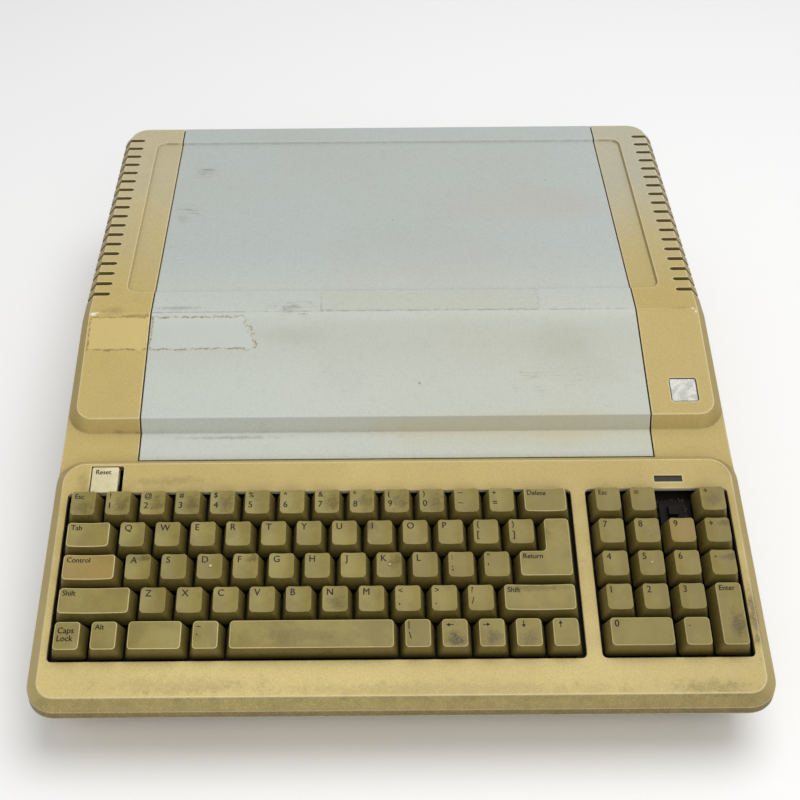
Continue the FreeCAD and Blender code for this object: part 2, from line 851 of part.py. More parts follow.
def make_base():
    corners = wall_section(shell_low, 0)
    sheet = plate(corners, [belt_corner_radius] * 4, foot_height, shell_low)
    holes = [post(x, y, 0, case_height, screw_bore) for x, y in base_screw_places()]
    save("base_plate", sheet.cut(holes))
    x = corners[1][0] - foot_inset
    feet = []
    for y in (corners[0][1] + foot_inset, corners[2][1] - foot_inset):
        for side in (-x, x):
            feet.append(post(side, y, 0, foot_height, foot_radius, 24))
    save("rubber_feet", Part.makeCompound(feet))


# Rear panel with its covered port openings

supply_left = -wall_section(shell_low, wall)[1][0] + supply_left_gap
supply_rear = panel_front - supply_rear_gap


def cover_places():
    # Centre x, centre z and width of every covered opening
    places = []
    left = supply_left + supply_width + covers_left_gap
    rows = [(cover_rows[0], cover_wide, wide_cover_pitch), (cover_rows[1], cover_narrow, narrow_cover_pitch)]
    for share, width, pitch in rows:
        z = shell_low + share * panel_height + cover_height / 2
        for i in range(row_count(left, panel_half - covers_right_gap, width, pitch)):
            places.append((left + width / 2 + i * pitch, z, width))
    return places


def supply_face(clearance):
    x0 = supply_left + supply_face_margin - clearance
    x1 = supply_left + supply_width - supply_face_margin + clearance
    z0 = shell_low + supply_face_margin - clearance
    z1 = shell_low + supply_height - supply_face_margin + clearance
    return x0, x1, z0, z1


board_right = wall_section(shell_low, wall)[1][0] - main_right_gap
port_height = shell_low + standoff_height + board_thickness + port_rise
game_port_x = board_right - game_port_margin
jack_places = [board_right - margin for margin in jack_margins]
video_x = board_right - video_margin


def make_rear_panel():
    low, high = shell_low, shell_low + panel_height
    sheet = block(-panel_half, panel_half, panel_front, panel_rear, low, high)
    flange_half = lid_half - ledge_width - panel_flange_gap
    sheet = sheet.fuse(block(-flange_half, flange_half, panel_front - panel_flange, panel_front,
                             high - panel_thickness, high))
    x0, x1, z0, z1 = supply_face(supply_face_clearance)
    cuts = [block(x0, x1, panel_front - 1, panel_rear + 1, z0, z1)]
    covers = []
    for x, z, width in cover_places():
        w, h = width / 2, cover_height / 2
        cuts.append(block(x - w, x + w, panel_front - 1, panel_rear + 1, z - h, z + h))
        w, h = w - cover_clearance, h - cover_clearance
        plug = block(x - w, x + w, panel_rear - cover_depth, panel_rear, z - h, z + h)
        w, h = width / 2 + cover_flange, cover_height / 2 + cover_flange
        rim = block(x - w, x + w, panel_rear, panel_rear + cover_flange_thickness, z - h, z + h)
        covers.append(plug.fuse(rim))
    for x in jack_places:
        cuts.append(rod_y(x, port_height, panel_front - 1, panel_rear + 1, jack_radius + port_clearance))
    cuts.append(rod_y(video_x, port_height, panel_front - 1, panel_rear + 1, video_radius + port_clearance))
    w = game_port_width / 2 + port_clearance
    h = game_port_height / 2 + port_clearance
    cuts.append(block(game_port_x - w, game_port_x + w, panel_front - 1, panel_rear + 1,
                      port_height - h, port_height + h))
    save("rear_panel", sheet.cut(cuts))
    save("port_covers", Part.makeCompound(covers))


# Power supply with its inlet and rocker switch

def face_place(share):
    x0, x1, z0, z1 = supply_face(0)
    return x0 + (x1 - x0) * share, (z0 + z1) / 2


supply_back = supply_rear + supply_face_reach
inlet_x, inlet_z = face_place(inlet_share)
rocker_x, rocker_z = face_place(rocker_share)


def make_power_supply():
    # Folded box, open towards the base plate, with a raised face at the rear
    x0, x1 = supply_left, supply_left + supply_width
    z0, z1 = shell_low, shell_low + supply_height
    front = supply_rear - supply_length
    t = supply_wall
    body = block(x0, x1, front, supply_rear, z0, z1)
    room = block(x0 + t, x1 - t, front + t, supply_rear - t, z0 - 1, z1 - t)
    fx0, fx1, fz0, fz1 = supply_face(0)
    body = body.cut(room).fuse(block(fx0, fx1, supply_rear - t, supply_back, fz0, fz1))
    w, h = rocker_width / 2 + rocker_gap, rocker_height / 2 + rocker_end_gap
    f = rocker_frame
    body = body.fuse(block(rocker_x - w - f, rocker_x + w + f, supply_back - rocker_depth - f,
                           supply_back, rocker_z - h - f, rocker_z + h + f))
    cuts = [block(rocker_x - w, rocker_x + w, supply_back - rocker_depth, supply_back + 1,
                  rocker_z - h, rocker_z + h)]
    reach = w + axle_grip + axle_clearance
    axle_y = supply_back - rocker_pivot_depth - axle_radius
    cuts.append(rod_x(rocker_x - reach, rocker_x + reach, axle_y, rocker_z, axle_radius + axle_clearance))
    for i in range(supply_slot_count):
        y = front + supply_slot_pitch * (i + 2)
        cuts.append(block(x0 + supply_slot_margin, x1 - supply_slot_margin, y, y + supply_slot_width,
                          z1 - t - 1, z1 + 1))
    w, h = inlet_width / 2, inlet_height / 2
    cuts.append(block(inlet_x - w, inlet_x + w, supply_rear - t - cut_past, supply_back + cut_past,
                      inlet_z - h, inlet_z + h))
    save("power_supply", body.cut(cuts))


def make_inlet():
    w, h = inlet_width / 2, inlet_height / 2
    inlet = block(inlet_x - w, inlet_x + w, supply_back - inlet_depth, supply_back, inlet_z - h, inlet_z + h)
    rim = block(inlet_x - w - inlet_flange, inlet_x + w + inlet_flange, supply_back,
                supply_back + inlet_flange_thickness, inlet_z - h - inlet_flange, inlet_z + h + inlet_flange)
    w, h = w - inlet_wall, h - inlet_wall
    floor = supply_back - inlet_depth + inlet_wall
    socket = block(inlet_x - w, inlet_x + w, floor, supply_back + cut_past, inlet_z - h, inlet_z + h)
    inlet = inlet.fuse(rim).cut(socket)
    pins = []
    for x, z in pin_places:
        left, low = inlet_x + x - pin_width / 2, inlet_z + z - pin_height / 2
        pins.append(block(left, left + pin_width, floor, supply_back - pin_recess, low, low + pin_height))
    save("power_inlet", inlet.fuse(pins))


def make_rocker():
    # Pressed in at one end and proud at the other, on an axle across its frame
    w, h = rocker_width / 2, rocker_height / 2
    rise = h * math.sin(math.radians(rocker_tilt))
    top = supply_back + rocker_lift
    face = [(top - rise, -h), (top - rocker_hollow, 0), (top + rise, h)]
    back = [(supply_back - rocker_end_depth, h), (supply_back - rocker_middle_depth, 0),
            (supply_back - rocker_end_depth, -h)]
    wire = Part.makePolygon([Vector(-w, y, z) for y, z in face + back + face[:1]])
    rocker = Part.Face(wire).extrude(Vector(2 * w, 0, 0))
    rocker.translate(Vector(rocker_x, 0, rocker_z))
    reach = w + rocker_gap + axle_grip
    axle_y = supply_back - rocker_pivot_depth - axle_radius
    axle = rod_x(rocker_x - reach, rocker_x + reach, axle_y, rocker_z, axle_radius)
    save("power_switch", rocker.fuse(axle))


# Main board, expansion slots, chips and the connectors at its rear edge

def board_zone():
    rear = panel_front - main_rear_gap
    return supply_left + supply_width + main_left_gap, board_right, rear - main_length, rear


board_level = shell_low + standoff_height + board_thickness


def make_main_board():
    x0, x1, y0, y1 = board_zone()
    z0 = shell_low + standoff_height
    board = block(x0, x1, y0, y1, z0, board_level)
    posts = []
    for x in (x0 + standoff_margin, (x0 + x1) / 2, x1 - standoff_margin):
        for y in (y0 + standoff_margin, (y0 + y1) / 2, y1 - standoff_margin):
            posts.append(post(x, y, shell_low, z0, standoff_radius))
    save("main_board", board.fuse(posts))

    rear = y1 - slot_rear_gap
    slots = [edge_slot(x0 + slot_first + i * slot_pitch, rear) for i in range(slot_count)]
    slots.append(edge_slot(x0 + short_slot_place[0], y1 - short_slot_place[1]))
    save("expansion_slots", Part.makeCompound(slots))

    chips = []
    for right, ahead, width, length, pitch in chip_rows:
        front = y0 + ahead
        for i in range(row_count(x0 + right, x1 - chip_right_margin, width, pitch)):
            x = x0 + right + i * pitch
            chips.append(block(x, x + width, front, front + length, board_level, board_level + chip_height))
    save("board_chips", Part.makeCompound(chips))


def edge_slot(x, rear):
    body = block(x - slot_width / 2, x + slot_width / 2, rear - slot_length, rear,
                 board_level, board_level + slot_height)
    groove = block(x - slot_groove / 2, x + slot_groove / 2,
                   rear - slot_length + slot_end_wall, rear - slot_end_wall,
                   board_level + slot_floor, board_level + slot_height + cut_past)
    return body.cut(groove)


def round_port(x, half, radius, bore, reach):
    # Body on the board with a round barrel through the rear panel
    edge = board_zone()[3]
    body = block(x - half, x + half, edge - port_depth, panel_front, board_level, port_height + half)
    body = body.fuse(rod_y(x, port_height, panel_front, reach, radius))
    return body.cut(rod_y(x, port_height, edge, reach, bore))


def make_connectors():
    reach = panel_rear + port_reach
    w, h = game_port_width / 2, game_port_height / 2
    game = block(game_port_x - game_body_half, game_port_x + game_body_half, board_zone()[3] - port_depth,
                 panel_front, board_level, port_height + h + game_body_rise)
    barrel = block(game_port_x - w, game_port_x + w, panel_front, reach, port_height - h, port_height + h)
    game = game.fuse(barrel)
    ports = [game, round_port(video_x, video_body_half, video_radius, video_bore, reach)]
    for x in jack_places:
        ports.append(round_port(x, jack_body_half, jack_radius, jack_bore, panel_rear + jack_reach))
    save("rear_connectors", Part.makeCompound(ports))


# Small parts in the front

def make_lamp_and_badge():
    rear = deck_length - lamp_rear_margin
    slit = rectangle(lamp_left, lamp_left + lamp_width, rear - lamp_length, rear)
    lens = shrink(slit, lamp_clearance, lamp_clearance, lamp_clearance)
    flange = shrink(slit, -lamp_flange, -lamp_flange, -lamp_flange)
    low = -wall - lamp_flange_thickness
    lamp = plate(lens, [0] * 4, low, -lamp_recess).fuse(plate(flange, [0] * 4, low, -wall))
    save("power_lamp", on_slope(lamp))
    low = -hood_drop - badge_depth
    save("badge_plate", on_slope(badge_zone(badge_clearance, low, low + badge_thickness)))


def make_speaker():
    # Magnet below, and above it a basket that holds the cone
    x, y = speaker_side_margin - case_width / 2, front_y + speaker_setback
    waist, top = shell_low + speaker_height / 2, shell_low + speaker_height
    sides = 24
    flat = [0] * sides
    magnet = post(x, y, shell_low, waist, speaker_magnet_radius, sides)
    basket = taper(ring(x, y, speaker_magnet_radius, sides), flat, waist,
                   ring(x, y, speaker_radius, sides), flat, top)
    cone = taper(ring(x, y, speaker_cap_radius, sides), flat, waist + speaker_skin,
                 ring(x, y, speaker_radius - speaker_rim, sides), flat, top)
    save("speaker", magnet.fuse(basket).cut(cone))


def make_ribbon():
    # Flat lead from a plug under the keyboard board to a header on the main board
    x0, x1, y0, y1 = board_zone()
    left, right = x0 + ribbon_place - ribbon_width / 2, x0 + ribbon_place + ribbon_width / 2
    o = plug_overhang
    header_front = y0 + header_margin
    header_top = board_level + plug_height
    header = block(left - o, right + o, header_front, header_front + plug_depth, board_level, header_top)
    under = -board_depth - board_thickness
    plug = on_slope(block(left - o, right + o, plug_reach - plug_depth / 2, plug_reach + plug_depth / 2,
                          under - plug_height, under))
    begin = deck_frame.multVec(Vector(0, plug_reach, under - plug_height))
    end_y = header_front + plug_depth / 2
    bend = ribbon_bend
    path = [(begin.y, begin.z + ribbon_thickness / 2), (begin.y + bend / 3, begin.z - bend),
            (begin.y + 1.5 * bend, header_top + bend), (end_y - bend, header_top + bend),
            (end_y, header_top - ribbon_thickness / 2)]
    curve = Part.BSplineCurve()
    curve.interpolate([Vector(0, y, z) for y, z in path])
    upper, lower = [], []
    for i in range(ribbon_step_count + 1):
        value = curve.FirstParameter + (curve.LastParameter - curve.FirstParameter) * i / ribbon_step_count
        tangent = curve.tangent(value)[0]
        normal = Vector(0, -tangent.z, tangent.y) * (ribbon_thickness / 2)
        upper.append(curve.value(value) + normal)
        lower.append(curve.value(value) - normal)
    section = upper + lower[::-1]
    strip = Part.Face(Part.makePolygon(section + section[:1])).extrude(Vector(ribbon_width, 0, 0))
    strip.translate(Vector(left, 0, 0))
    save("keyboard_ribbon", strip.fuse([header, plug]))


os.makedirs("parts", exist_ok=True)
make_upper_case()
make_lid()
make_base()
make_rear_panel()
make_power_supply()
make_inlet()
make_rocker()
make_main_board()
make_connectors()
make_keyboard()
make_lamp_and_badge()
make_speaker()
make_ribbon()
make_keys()
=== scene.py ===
import itertools
import math
import random

import bmesh
import bpy
from mathutils import Matrix, Vector


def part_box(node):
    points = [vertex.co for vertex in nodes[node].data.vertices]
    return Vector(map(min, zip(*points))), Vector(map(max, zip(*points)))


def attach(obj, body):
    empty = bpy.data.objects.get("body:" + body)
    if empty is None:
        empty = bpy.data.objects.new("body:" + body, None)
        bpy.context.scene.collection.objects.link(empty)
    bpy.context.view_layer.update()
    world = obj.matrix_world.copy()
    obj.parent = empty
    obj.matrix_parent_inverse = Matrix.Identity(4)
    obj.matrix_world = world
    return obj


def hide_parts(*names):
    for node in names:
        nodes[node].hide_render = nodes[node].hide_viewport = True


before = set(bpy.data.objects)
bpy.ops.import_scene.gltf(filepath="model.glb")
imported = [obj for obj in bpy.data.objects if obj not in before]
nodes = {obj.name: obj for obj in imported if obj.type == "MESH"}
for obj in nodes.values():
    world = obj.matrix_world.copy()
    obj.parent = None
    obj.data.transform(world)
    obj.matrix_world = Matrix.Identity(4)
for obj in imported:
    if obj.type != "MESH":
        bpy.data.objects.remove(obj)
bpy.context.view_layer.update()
print("frame loaded:", len(nodes), "nodes")

mm = 0.001

# the sloping keyboard deck: x across, y up the slope, z off the deck
deck = {"slope": 14.7, "frontY": -224.7, "frontZ": 49.0}
slope = math.radians(deck["slope"])
deckPlace = Matrix.Translation((0, deck["frontY"] * mm, deck["frontZ"] * mm)) @ Matrix.Rotation(slope, 4, "X")
onDeck = deckPlace @ Matrix.Scale(mm, 4)


def newMesh(name, bm, smooth, *materials):
    # smooth is the angle in degrees past which an edge stays sharp, or 0 for a faceted piece
    mesh = bpy.data.meshes.new(name)
    bm.to_mesh(mesh)
    bm.free()
    obj = bpy.data.objects.new(name, mesh)
    bpy.context.collection.objects.link(obj)
    if smooth:
        mesh.shade_smooth()
        mesh.set_sharp_from_angle(angle=math.radians(smooth))
    for material in materials:
        mesh.materials.append(material)
    return obj


class surfaceValue:
    # a value that changes over a surface; arithmetic on it adds math nodes to its tree
    def __init__(self, socket):
        self.socket, self.tree = socket, socket.id_data

    def __add__(self, other):
        return mathNode("ADD", self, other)

    def __radd__(self, other):
        return mathNode("ADD", other, self)

    def __sub__(self, other):
        return mathNode("SUBTRACT", self, other)

    def __rsub__(self, other):
        return mathNode("SUBTRACT", other, self)

    def __mul__(self, other):
        return mathNode("MULTIPLY", self, other)

    def __truediv__(self, other):
        return mathNode("DIVIDE", self, other)

    def __pow__(self, other):
        return mathNode("POWER", self, other)

    def __lt__(self, other):
        return mathNode("LESS_THAN", self, other)

    def __gt__(self, other):
        return mathNode("GREATER_THAN", self, other)

    def __abs__(self):
        return mathNode("ABSOLUTE", self)


def setSocket(socket, value):
    # links a surface value, or sets a constant
    if isinstance(value, surfaceValue):
        socket.id_data.links.new(value.socket, socket)
    else:
        socket.default_value = value


def outputsOf(node):
    # by place and by name
    return {key: surfaceValue(socket) for i, socket in enumerate(node.outputs) for key in (i, socket.name)}


def addNode(tree, kind, inputs=None, **settings):
    node = tree.nodes.new("ShaderNode" + kind)
    for key, value in settings.items():
        setattr(node, key, value)
    for key, value in (inputs or {}).items():
        setSocket(node.inputs[key], value)
    return outputsOf(node)


def mathNode(operation, a, b=0.0, clamp=False):
    tree = (a if isinstance(a, surfaceValue) else b).tree
    return addNode(tree, "Math", {0: a, 1: b}, operation=operation, use_clamp=clamp)[0]


def mixColour(factor, a, b):
    return addNode(factor.tree, "Mix", {0: factor, 6: a, 7: b}, data_type="RGBA")[2]


def ramp(value, low, high, kind="SMOOTHSTEP"):
    # 0 below the low value and 1 above the high one
    inputs = {"Value": value, "From Min": low, "From Max": high}
    return addNode(value.tree, "MapRange", inputs, interpolation_type=kind)["Result"]


def noise(place, scale, detail=2.0, roughness=0.5):
    inputs = {"Vector": place, "Scale": scale, "Detail": detail, "Roughness": roughness}
    return addNode(place.tree, "TexNoise", inputs)["Fac"]


def luckyNumber(x, y):
    # the same chance all over one whole square
    square = addNode(x.tree, "CombineXYZ", {0: x, 1: y})[0]
    return addNode(x.tree, "TexWhiteNoise", {"Vector": square}, noise_dimensions="3D")["Value"]


def objectPlace(tree):
    return addNode(tree, "TexCoord")["Object"]


def faceNormal(tree):
    return addNode(tree, "NewGeometry")["Normal"]


def srgb(r, g, b):
    # colour as seen on screen, 0 to 255
    values = [c / 255 for c in (r, g, b)]
    return tuple(c / 12.92 if c <= 0.04045 else ((c + 0.055) / 1.055) ** 2.4 for c in values) + (1.0,)


def newGroup(name, inputs, outputs):
    # every input is a number, given with its usual value
    tree = bpy.data.node_groups.new(name, "ShaderNodeTree")
    for label, value in inputs.items():
        socket = tree.interface.new_socket(label, in_out="INPUT", socket_type="NodeSocketFloat")
        socket.default_value = value
    for label in outputs:
        kind = "Vector" if label == "Normal" else "Float"
        tree.interface.new_socket(label, in_out="OUTPUT", socket_type="NodeSocket" + kind)
    return tree, outputsOf(tree.nodes.new("NodeGroupInput")), tree.nodes.new("NodeGroupOutput")


def putOut(end, **values):
    for label, value in values.items():
        setSocket(end.inputs[label], value)


def buildPlace():
    # place in millimetres, also along and off the deck; Facing is 1 on faces that lie like the deck
    tree, _, end = newGroup("partPlace", {}, ["X", "Y", "Z", "Along", "Off", "Facing"])
    millimetres = addNode(tree, "VectorMath", {0: objectPlace(tree), 3: 1 / mm}, operation="SCALE")["Vector"]
    axes = addNode(tree, "SeparateXYZ", {0: millimetres})
    for label in "XYZ":
        setSocket(end.inputs[label], axes[label])
    deckNormal = (0.0, -math.sin(slope), math.cos(slope))
    deckAlong = (0.0, math.cos(slope), math.sin(slope))
    fromFront = addNode(tree, "VectorMath", {0: millimetres, 1: (0.0, deck["frontY"], deck["frontZ"])},
                        operation="SUBTRACT")["Vector"]
    for label, vector, other in (("Along", fromFront, deckAlong), ("Off", fromFront, deckNormal),
                                 ("Facing", faceNormal(tree), deckNormal)):
        dot = addNode(tree, "VectorMath", {0: vector, 1: other}, operation="DOT_PRODUCT")
        setSocket(end.inputs[label], dot["Value"])
    return tree


def buildSpot():
    # a soft ellipse, 1 in its middle, its border torn by the wander value
    inputs = {"X": 0.0, "Y": 0.0, "Centre X": 0.0, "Centre Y": 0.0, "Reach X": 5.0, "Reach Y": 5.0,
              "Wander": 0.5}
    tree, start, end = newGroup("spot", inputs, ["Mask", "Specks"])
    across = ((start["X"] - start["Centre X"]) / start["Reach X"]) ** 2.0
    along = ((start["Y"] - start["Centre Y"]) / start["Reach Y"]) ** 2.0
    away = mathNode("SQRT", across + along)
    torn = away + (0.5 - start["Wander"]) * 2.2
    mask = 1.0 - ramp(torn, 0.2, 1.1)
    fine = noise(objectPlace(tree), 2100.0, 3.0, 0.7)
    level = 0.62 - mask * 0.2
    dots = ramp(fine, level, level + 0.1, "LINEAR")
    putOut(end, Mask=mask, Specks=mathNode("MAXIMUM", mask * dots, mask * 0.4))
    return tree


def buildFrameLine():
    # a ragged line round an upright rectangle
    inputs = dict.fromkeys(["X", "Y", "Left", "Right", "Front", "Rear", "Slant"], 0.0)
    inputs.update({"Width": 1.0, "Wander": 0.5, "Broken": 0.0})
    tree, start, end = newGroup("frameLine", inputs, ["Line", "Inside"])
    x, y = start["X"], start["Y"]
    tilt = (y - start["Front"]) * start["Slant"]
    left = x - start["Left"]
    right = start["Right"] + tilt - x
    front = y - start["Front"]
    rear = start["Rear"] - y
    depth = mathNode("MINIMUM", mathNode("MINIMUM", left, right), mathNode("MINIMUM", front, rear))
    nearRight = 1.0 - ramp(right, 2.0, 9.0)
    depth = depth + (start["Wander"] - 0.5) * (5.0 + nearRight * 12.0)
    line = 1.0 - ramp(abs(depth) / start["Width"], 0.3, 1.0)
    gaps = (1.0 - ramp(noise(objectPlace(tree), 300.0, 5.0, 0.8), 0.42, 0.56)) * start["Broken"]
    putOut(end, Line=line * (1.0 - gaps), Inside=ramp(depth, 0.0, 1.0))
    return tree


def buildMottle():
    # cloudy patches and fine specks, each 0 to 1
    inputs = {"Cloud Scale": 20.0, "Speck Scale": 900.0, "Speck Amount": 0.4}
    tree, start, end = newGroup("mottle", inputs, ["Cloud", "Specks", "Grain"])
    place = objectPlace(tree)
    fine = noise(place, start["Speck Scale"])
    putOut(end, Cloud=noise(place, start["Cloud Scale"], 5.0, 0.6), Grain=fine,
           Specks=ramp(fine, 1.0 - start["Speck Amount"], 1.0, "LINEAR"))
    return tree


def buildEdge():
    # 1 where the rounded normal leaves the flat one, near an edge, for wear and painted highlight, and the
    # rounded normal itself
    tree, start, end = newGroup("edge", {"Radius": 0.001, "Low": 0.9, "High": 0.995}, ["Worn", "Normal"])
    soft = addNode(tree, "Bevel", {"Radius": start["Radius"]}, samples=6)["Normal"]
    dot = addNode(tree, "VectorMath", {0: soft, 1: faceNormal(tree)}, operation="DOT_PRODUCT")["Value"]
    putOut(end, Worn=1.0 - ramp(dot, start["Low"], start["High"], "LINEAR"), Normal=soft)
    return tree


def buildHollow():
    # ambient occlusion: 1 deep in corners and slots, used as painted shade mixed with grime; Open is 1 away
    # from them
    tree, start, end = newGroup("hollow", {"Distance": 0.01, "Low": 0.4, "High": 0.98}, ["Dirt", "Open"])
    seen = addNode(tree, "AmbientOcclusion", {"Distance": start["Distance"]}, samples=8)["AO"]
    putOut(end, Dirt=1.0 - ramp(seen, start["Low"], start["High"], "LINEAR"), Open=ramp(seen, 0.86, 0.97))
    return tree


partPlace = buildPlace()
spot = buildSpot()
frameLine = buildFrameLine()
mottle = buildMottle()
edge = buildEdge()
hollow = buildHollow()


def useGroup(tree, group, **inputs):
    node = tree.nodes.new("ShaderNodeGroup")
    node.node_tree = group
    for key, value in inputs.items():
        setSocket(node.inputs[key.replace("_", " ")], value)
    return outputsOf(node)


def useSpot(tree, x, y, patch, wander, kind="Mask"):
    # patch is the middle and the two reaches
    return useGroup(tree, spot, X=x, Y=y, Centre_X=patch[0], Centre_Y=patch[1], Reach_X=patch[2],
                    Reach_Y=patch[3], Wander=wander)[kind]


def useFrameLine(tree, place, box, **inputs):
    # box is left, right, front and rear
    return useGroup(tree, frameLine, X=place["X"], Y=place["Y"], Left=box[0], Right=box[1], Front=box[2],
                    Rear=box[3], **inputs)


def useMottle(tree, clouds, specks, amount=0.4):
    return useGroup(tree, mottle, Cloud_Scale=clouds, Speck_Scale=specks, Speck_Amount=amount)


def newMaterial(name, roughness, metallic=0.0):
    material = bpy.data.materials.new(name)
    material.use_nodes = True
    shader = material.node_tree.nodes["Principled BSDF"]
    shader.inputs["Roughness"].default_value = roughness
    shader.inputs["Metallic"].default_value = metallic
    shader.inputs["Specular IOR Level"].default_value = 0.35
    return material, material.node_tree, shader


def finishSurface(shader, base, height, strength, distance=0.0002, **inputs):
    # sets the colour and a fine bump, which may start from a rounded normal
    setSocket(shader.inputs["Base Color"], base)
    inputs.update({"Height": height, "Strength": strength, "Distance": distance})
    setSocket(shader.inputs["Normal"], addNode(height.tree, "Bump", inputs)["Normal"])


def plainMaterial(name, colour, other, roughness, metallic=0.0, scale=60.0, bump=0.1):
    material, tree, shader = newMaterial(name, roughness, metallic)
    spots = useMottle(tree, scale, 900.0)
    finishSurface(shader, mixColour(ramp(spots["Cloud"], 0.35, 0.65), colour, other), spots["Grain"], bump)
    return material


def paint(material, *names):
    for name in names:
        mesh = nodes[name].data
        mesh.materials.clear()
        mesh.materials.append(material)


caseLook = {
    "front": srgb(219, 198, 131), "middle": srgb(199, 177, 110), "rear": srgb(196, 193, 172),
    "olive": srgb(122, 104, 50), "grime": srgb(64, 51, 22), "wornAndHighlight": srgb(240, 226, 182),
    "chip": srgb(240, 238, 230),
    "residue": srgb(138, 112, 56), "slotWall": srgb(126, 104, 48), "slotMiddle": 120.0, "slotReach": 104.0,
    "leftFade": 0.38, "cast": 0.13, "corner": 0.11, "clouds": 0.1, "grain": 0.2, "hair": 0.09, "turned": 0.62,
    "specks": 0.5, "lowRim": 0.3, "dirtAndShade": 0.55, "wall": 0.75, "stepLeft": 0.2, "stepRight": 0.45, "lip": 0.8,
    "wearAndHighlight": 0.75,
    "chips": [(-183.0, 9.0, 2.4, 1.7, 0.8), (-180.6, 10.0, 1.6, 0.7, 0.6), (182.6, 9.8, 1.6, 0.9, 0.7),
              (184.0, 7.4, 0.9, 1.4, 0.7)],
    "smudges": [(185.5, 42.0, 3.6, 26.0, 0.75), (-128.0, 124.0, 30.0, 4.0, 0.3),
                (-176.0, 124.0, 5.0, 8.0, 0.3), (168.0, 108.0, 12.0, 6.0, 0.3), (20.0, 3.0, 150.0, 6.0, 0.22),
                (-110.0, 6.0, 60.0, 7.0, 0.25), (186.0, 130.0, 6.0, 6.0, 0.4),
                (-130.0, 161.0, 50.0, 1.4, 0.5), (160.0, 3.0, 30.0, 6.0, 0.4)],
    "scuffs": [(-170.0, 12.0, 13.0, 6.0, 0.3), (-157.0, 7.5, 12.0, 2.2, 0.5), (176.0, 10.0, 8.0, 1.6, 0.4)],
}
wellLook = {"rear": 116.97, "reach": 1.0, "colour": srgb(240, 236, 214)}
residueLook = {"case": (-184.0, -148.3, -16.4, 6.8), "lid": (-146.4, -82.0, -16.4, 6.3), "slant": -0.4,
               "width": 0.85, "lineAmount": 0.8, "insideAmount": 0.35}


def addTints(base, look, *tints):
    # a tint is a mask and the names of its strength and its colour in the look
    for mask, strength, colour in tints:
        base = mixColour(mask * look[strength], base, look[colour])
    return base


def addMarks(tree, base, colour, places, marks, wander, kind="Mask"):
    # places is the pair of coordinates that the marks are given in; a mark is x, y, two reaches and strength
    for mark in marks:
        base = mixColour(useSpot(tree, *places, mark, wander, kind) * mark[4], base, colour)
    return base


def addResidue(tree, base, place, box, slant, wander, colour, inside):
    look = residueLook
    line = useFrameLine(tree, place, box, Slant=slant, Width=look["width"], Wander=wander, Broken=1.0)
    base = mixColour(line["Inside"] * look["insideAmount"], base, inside)
    return mixColour(line["Line"] * look["lineAmount"], base, colour)


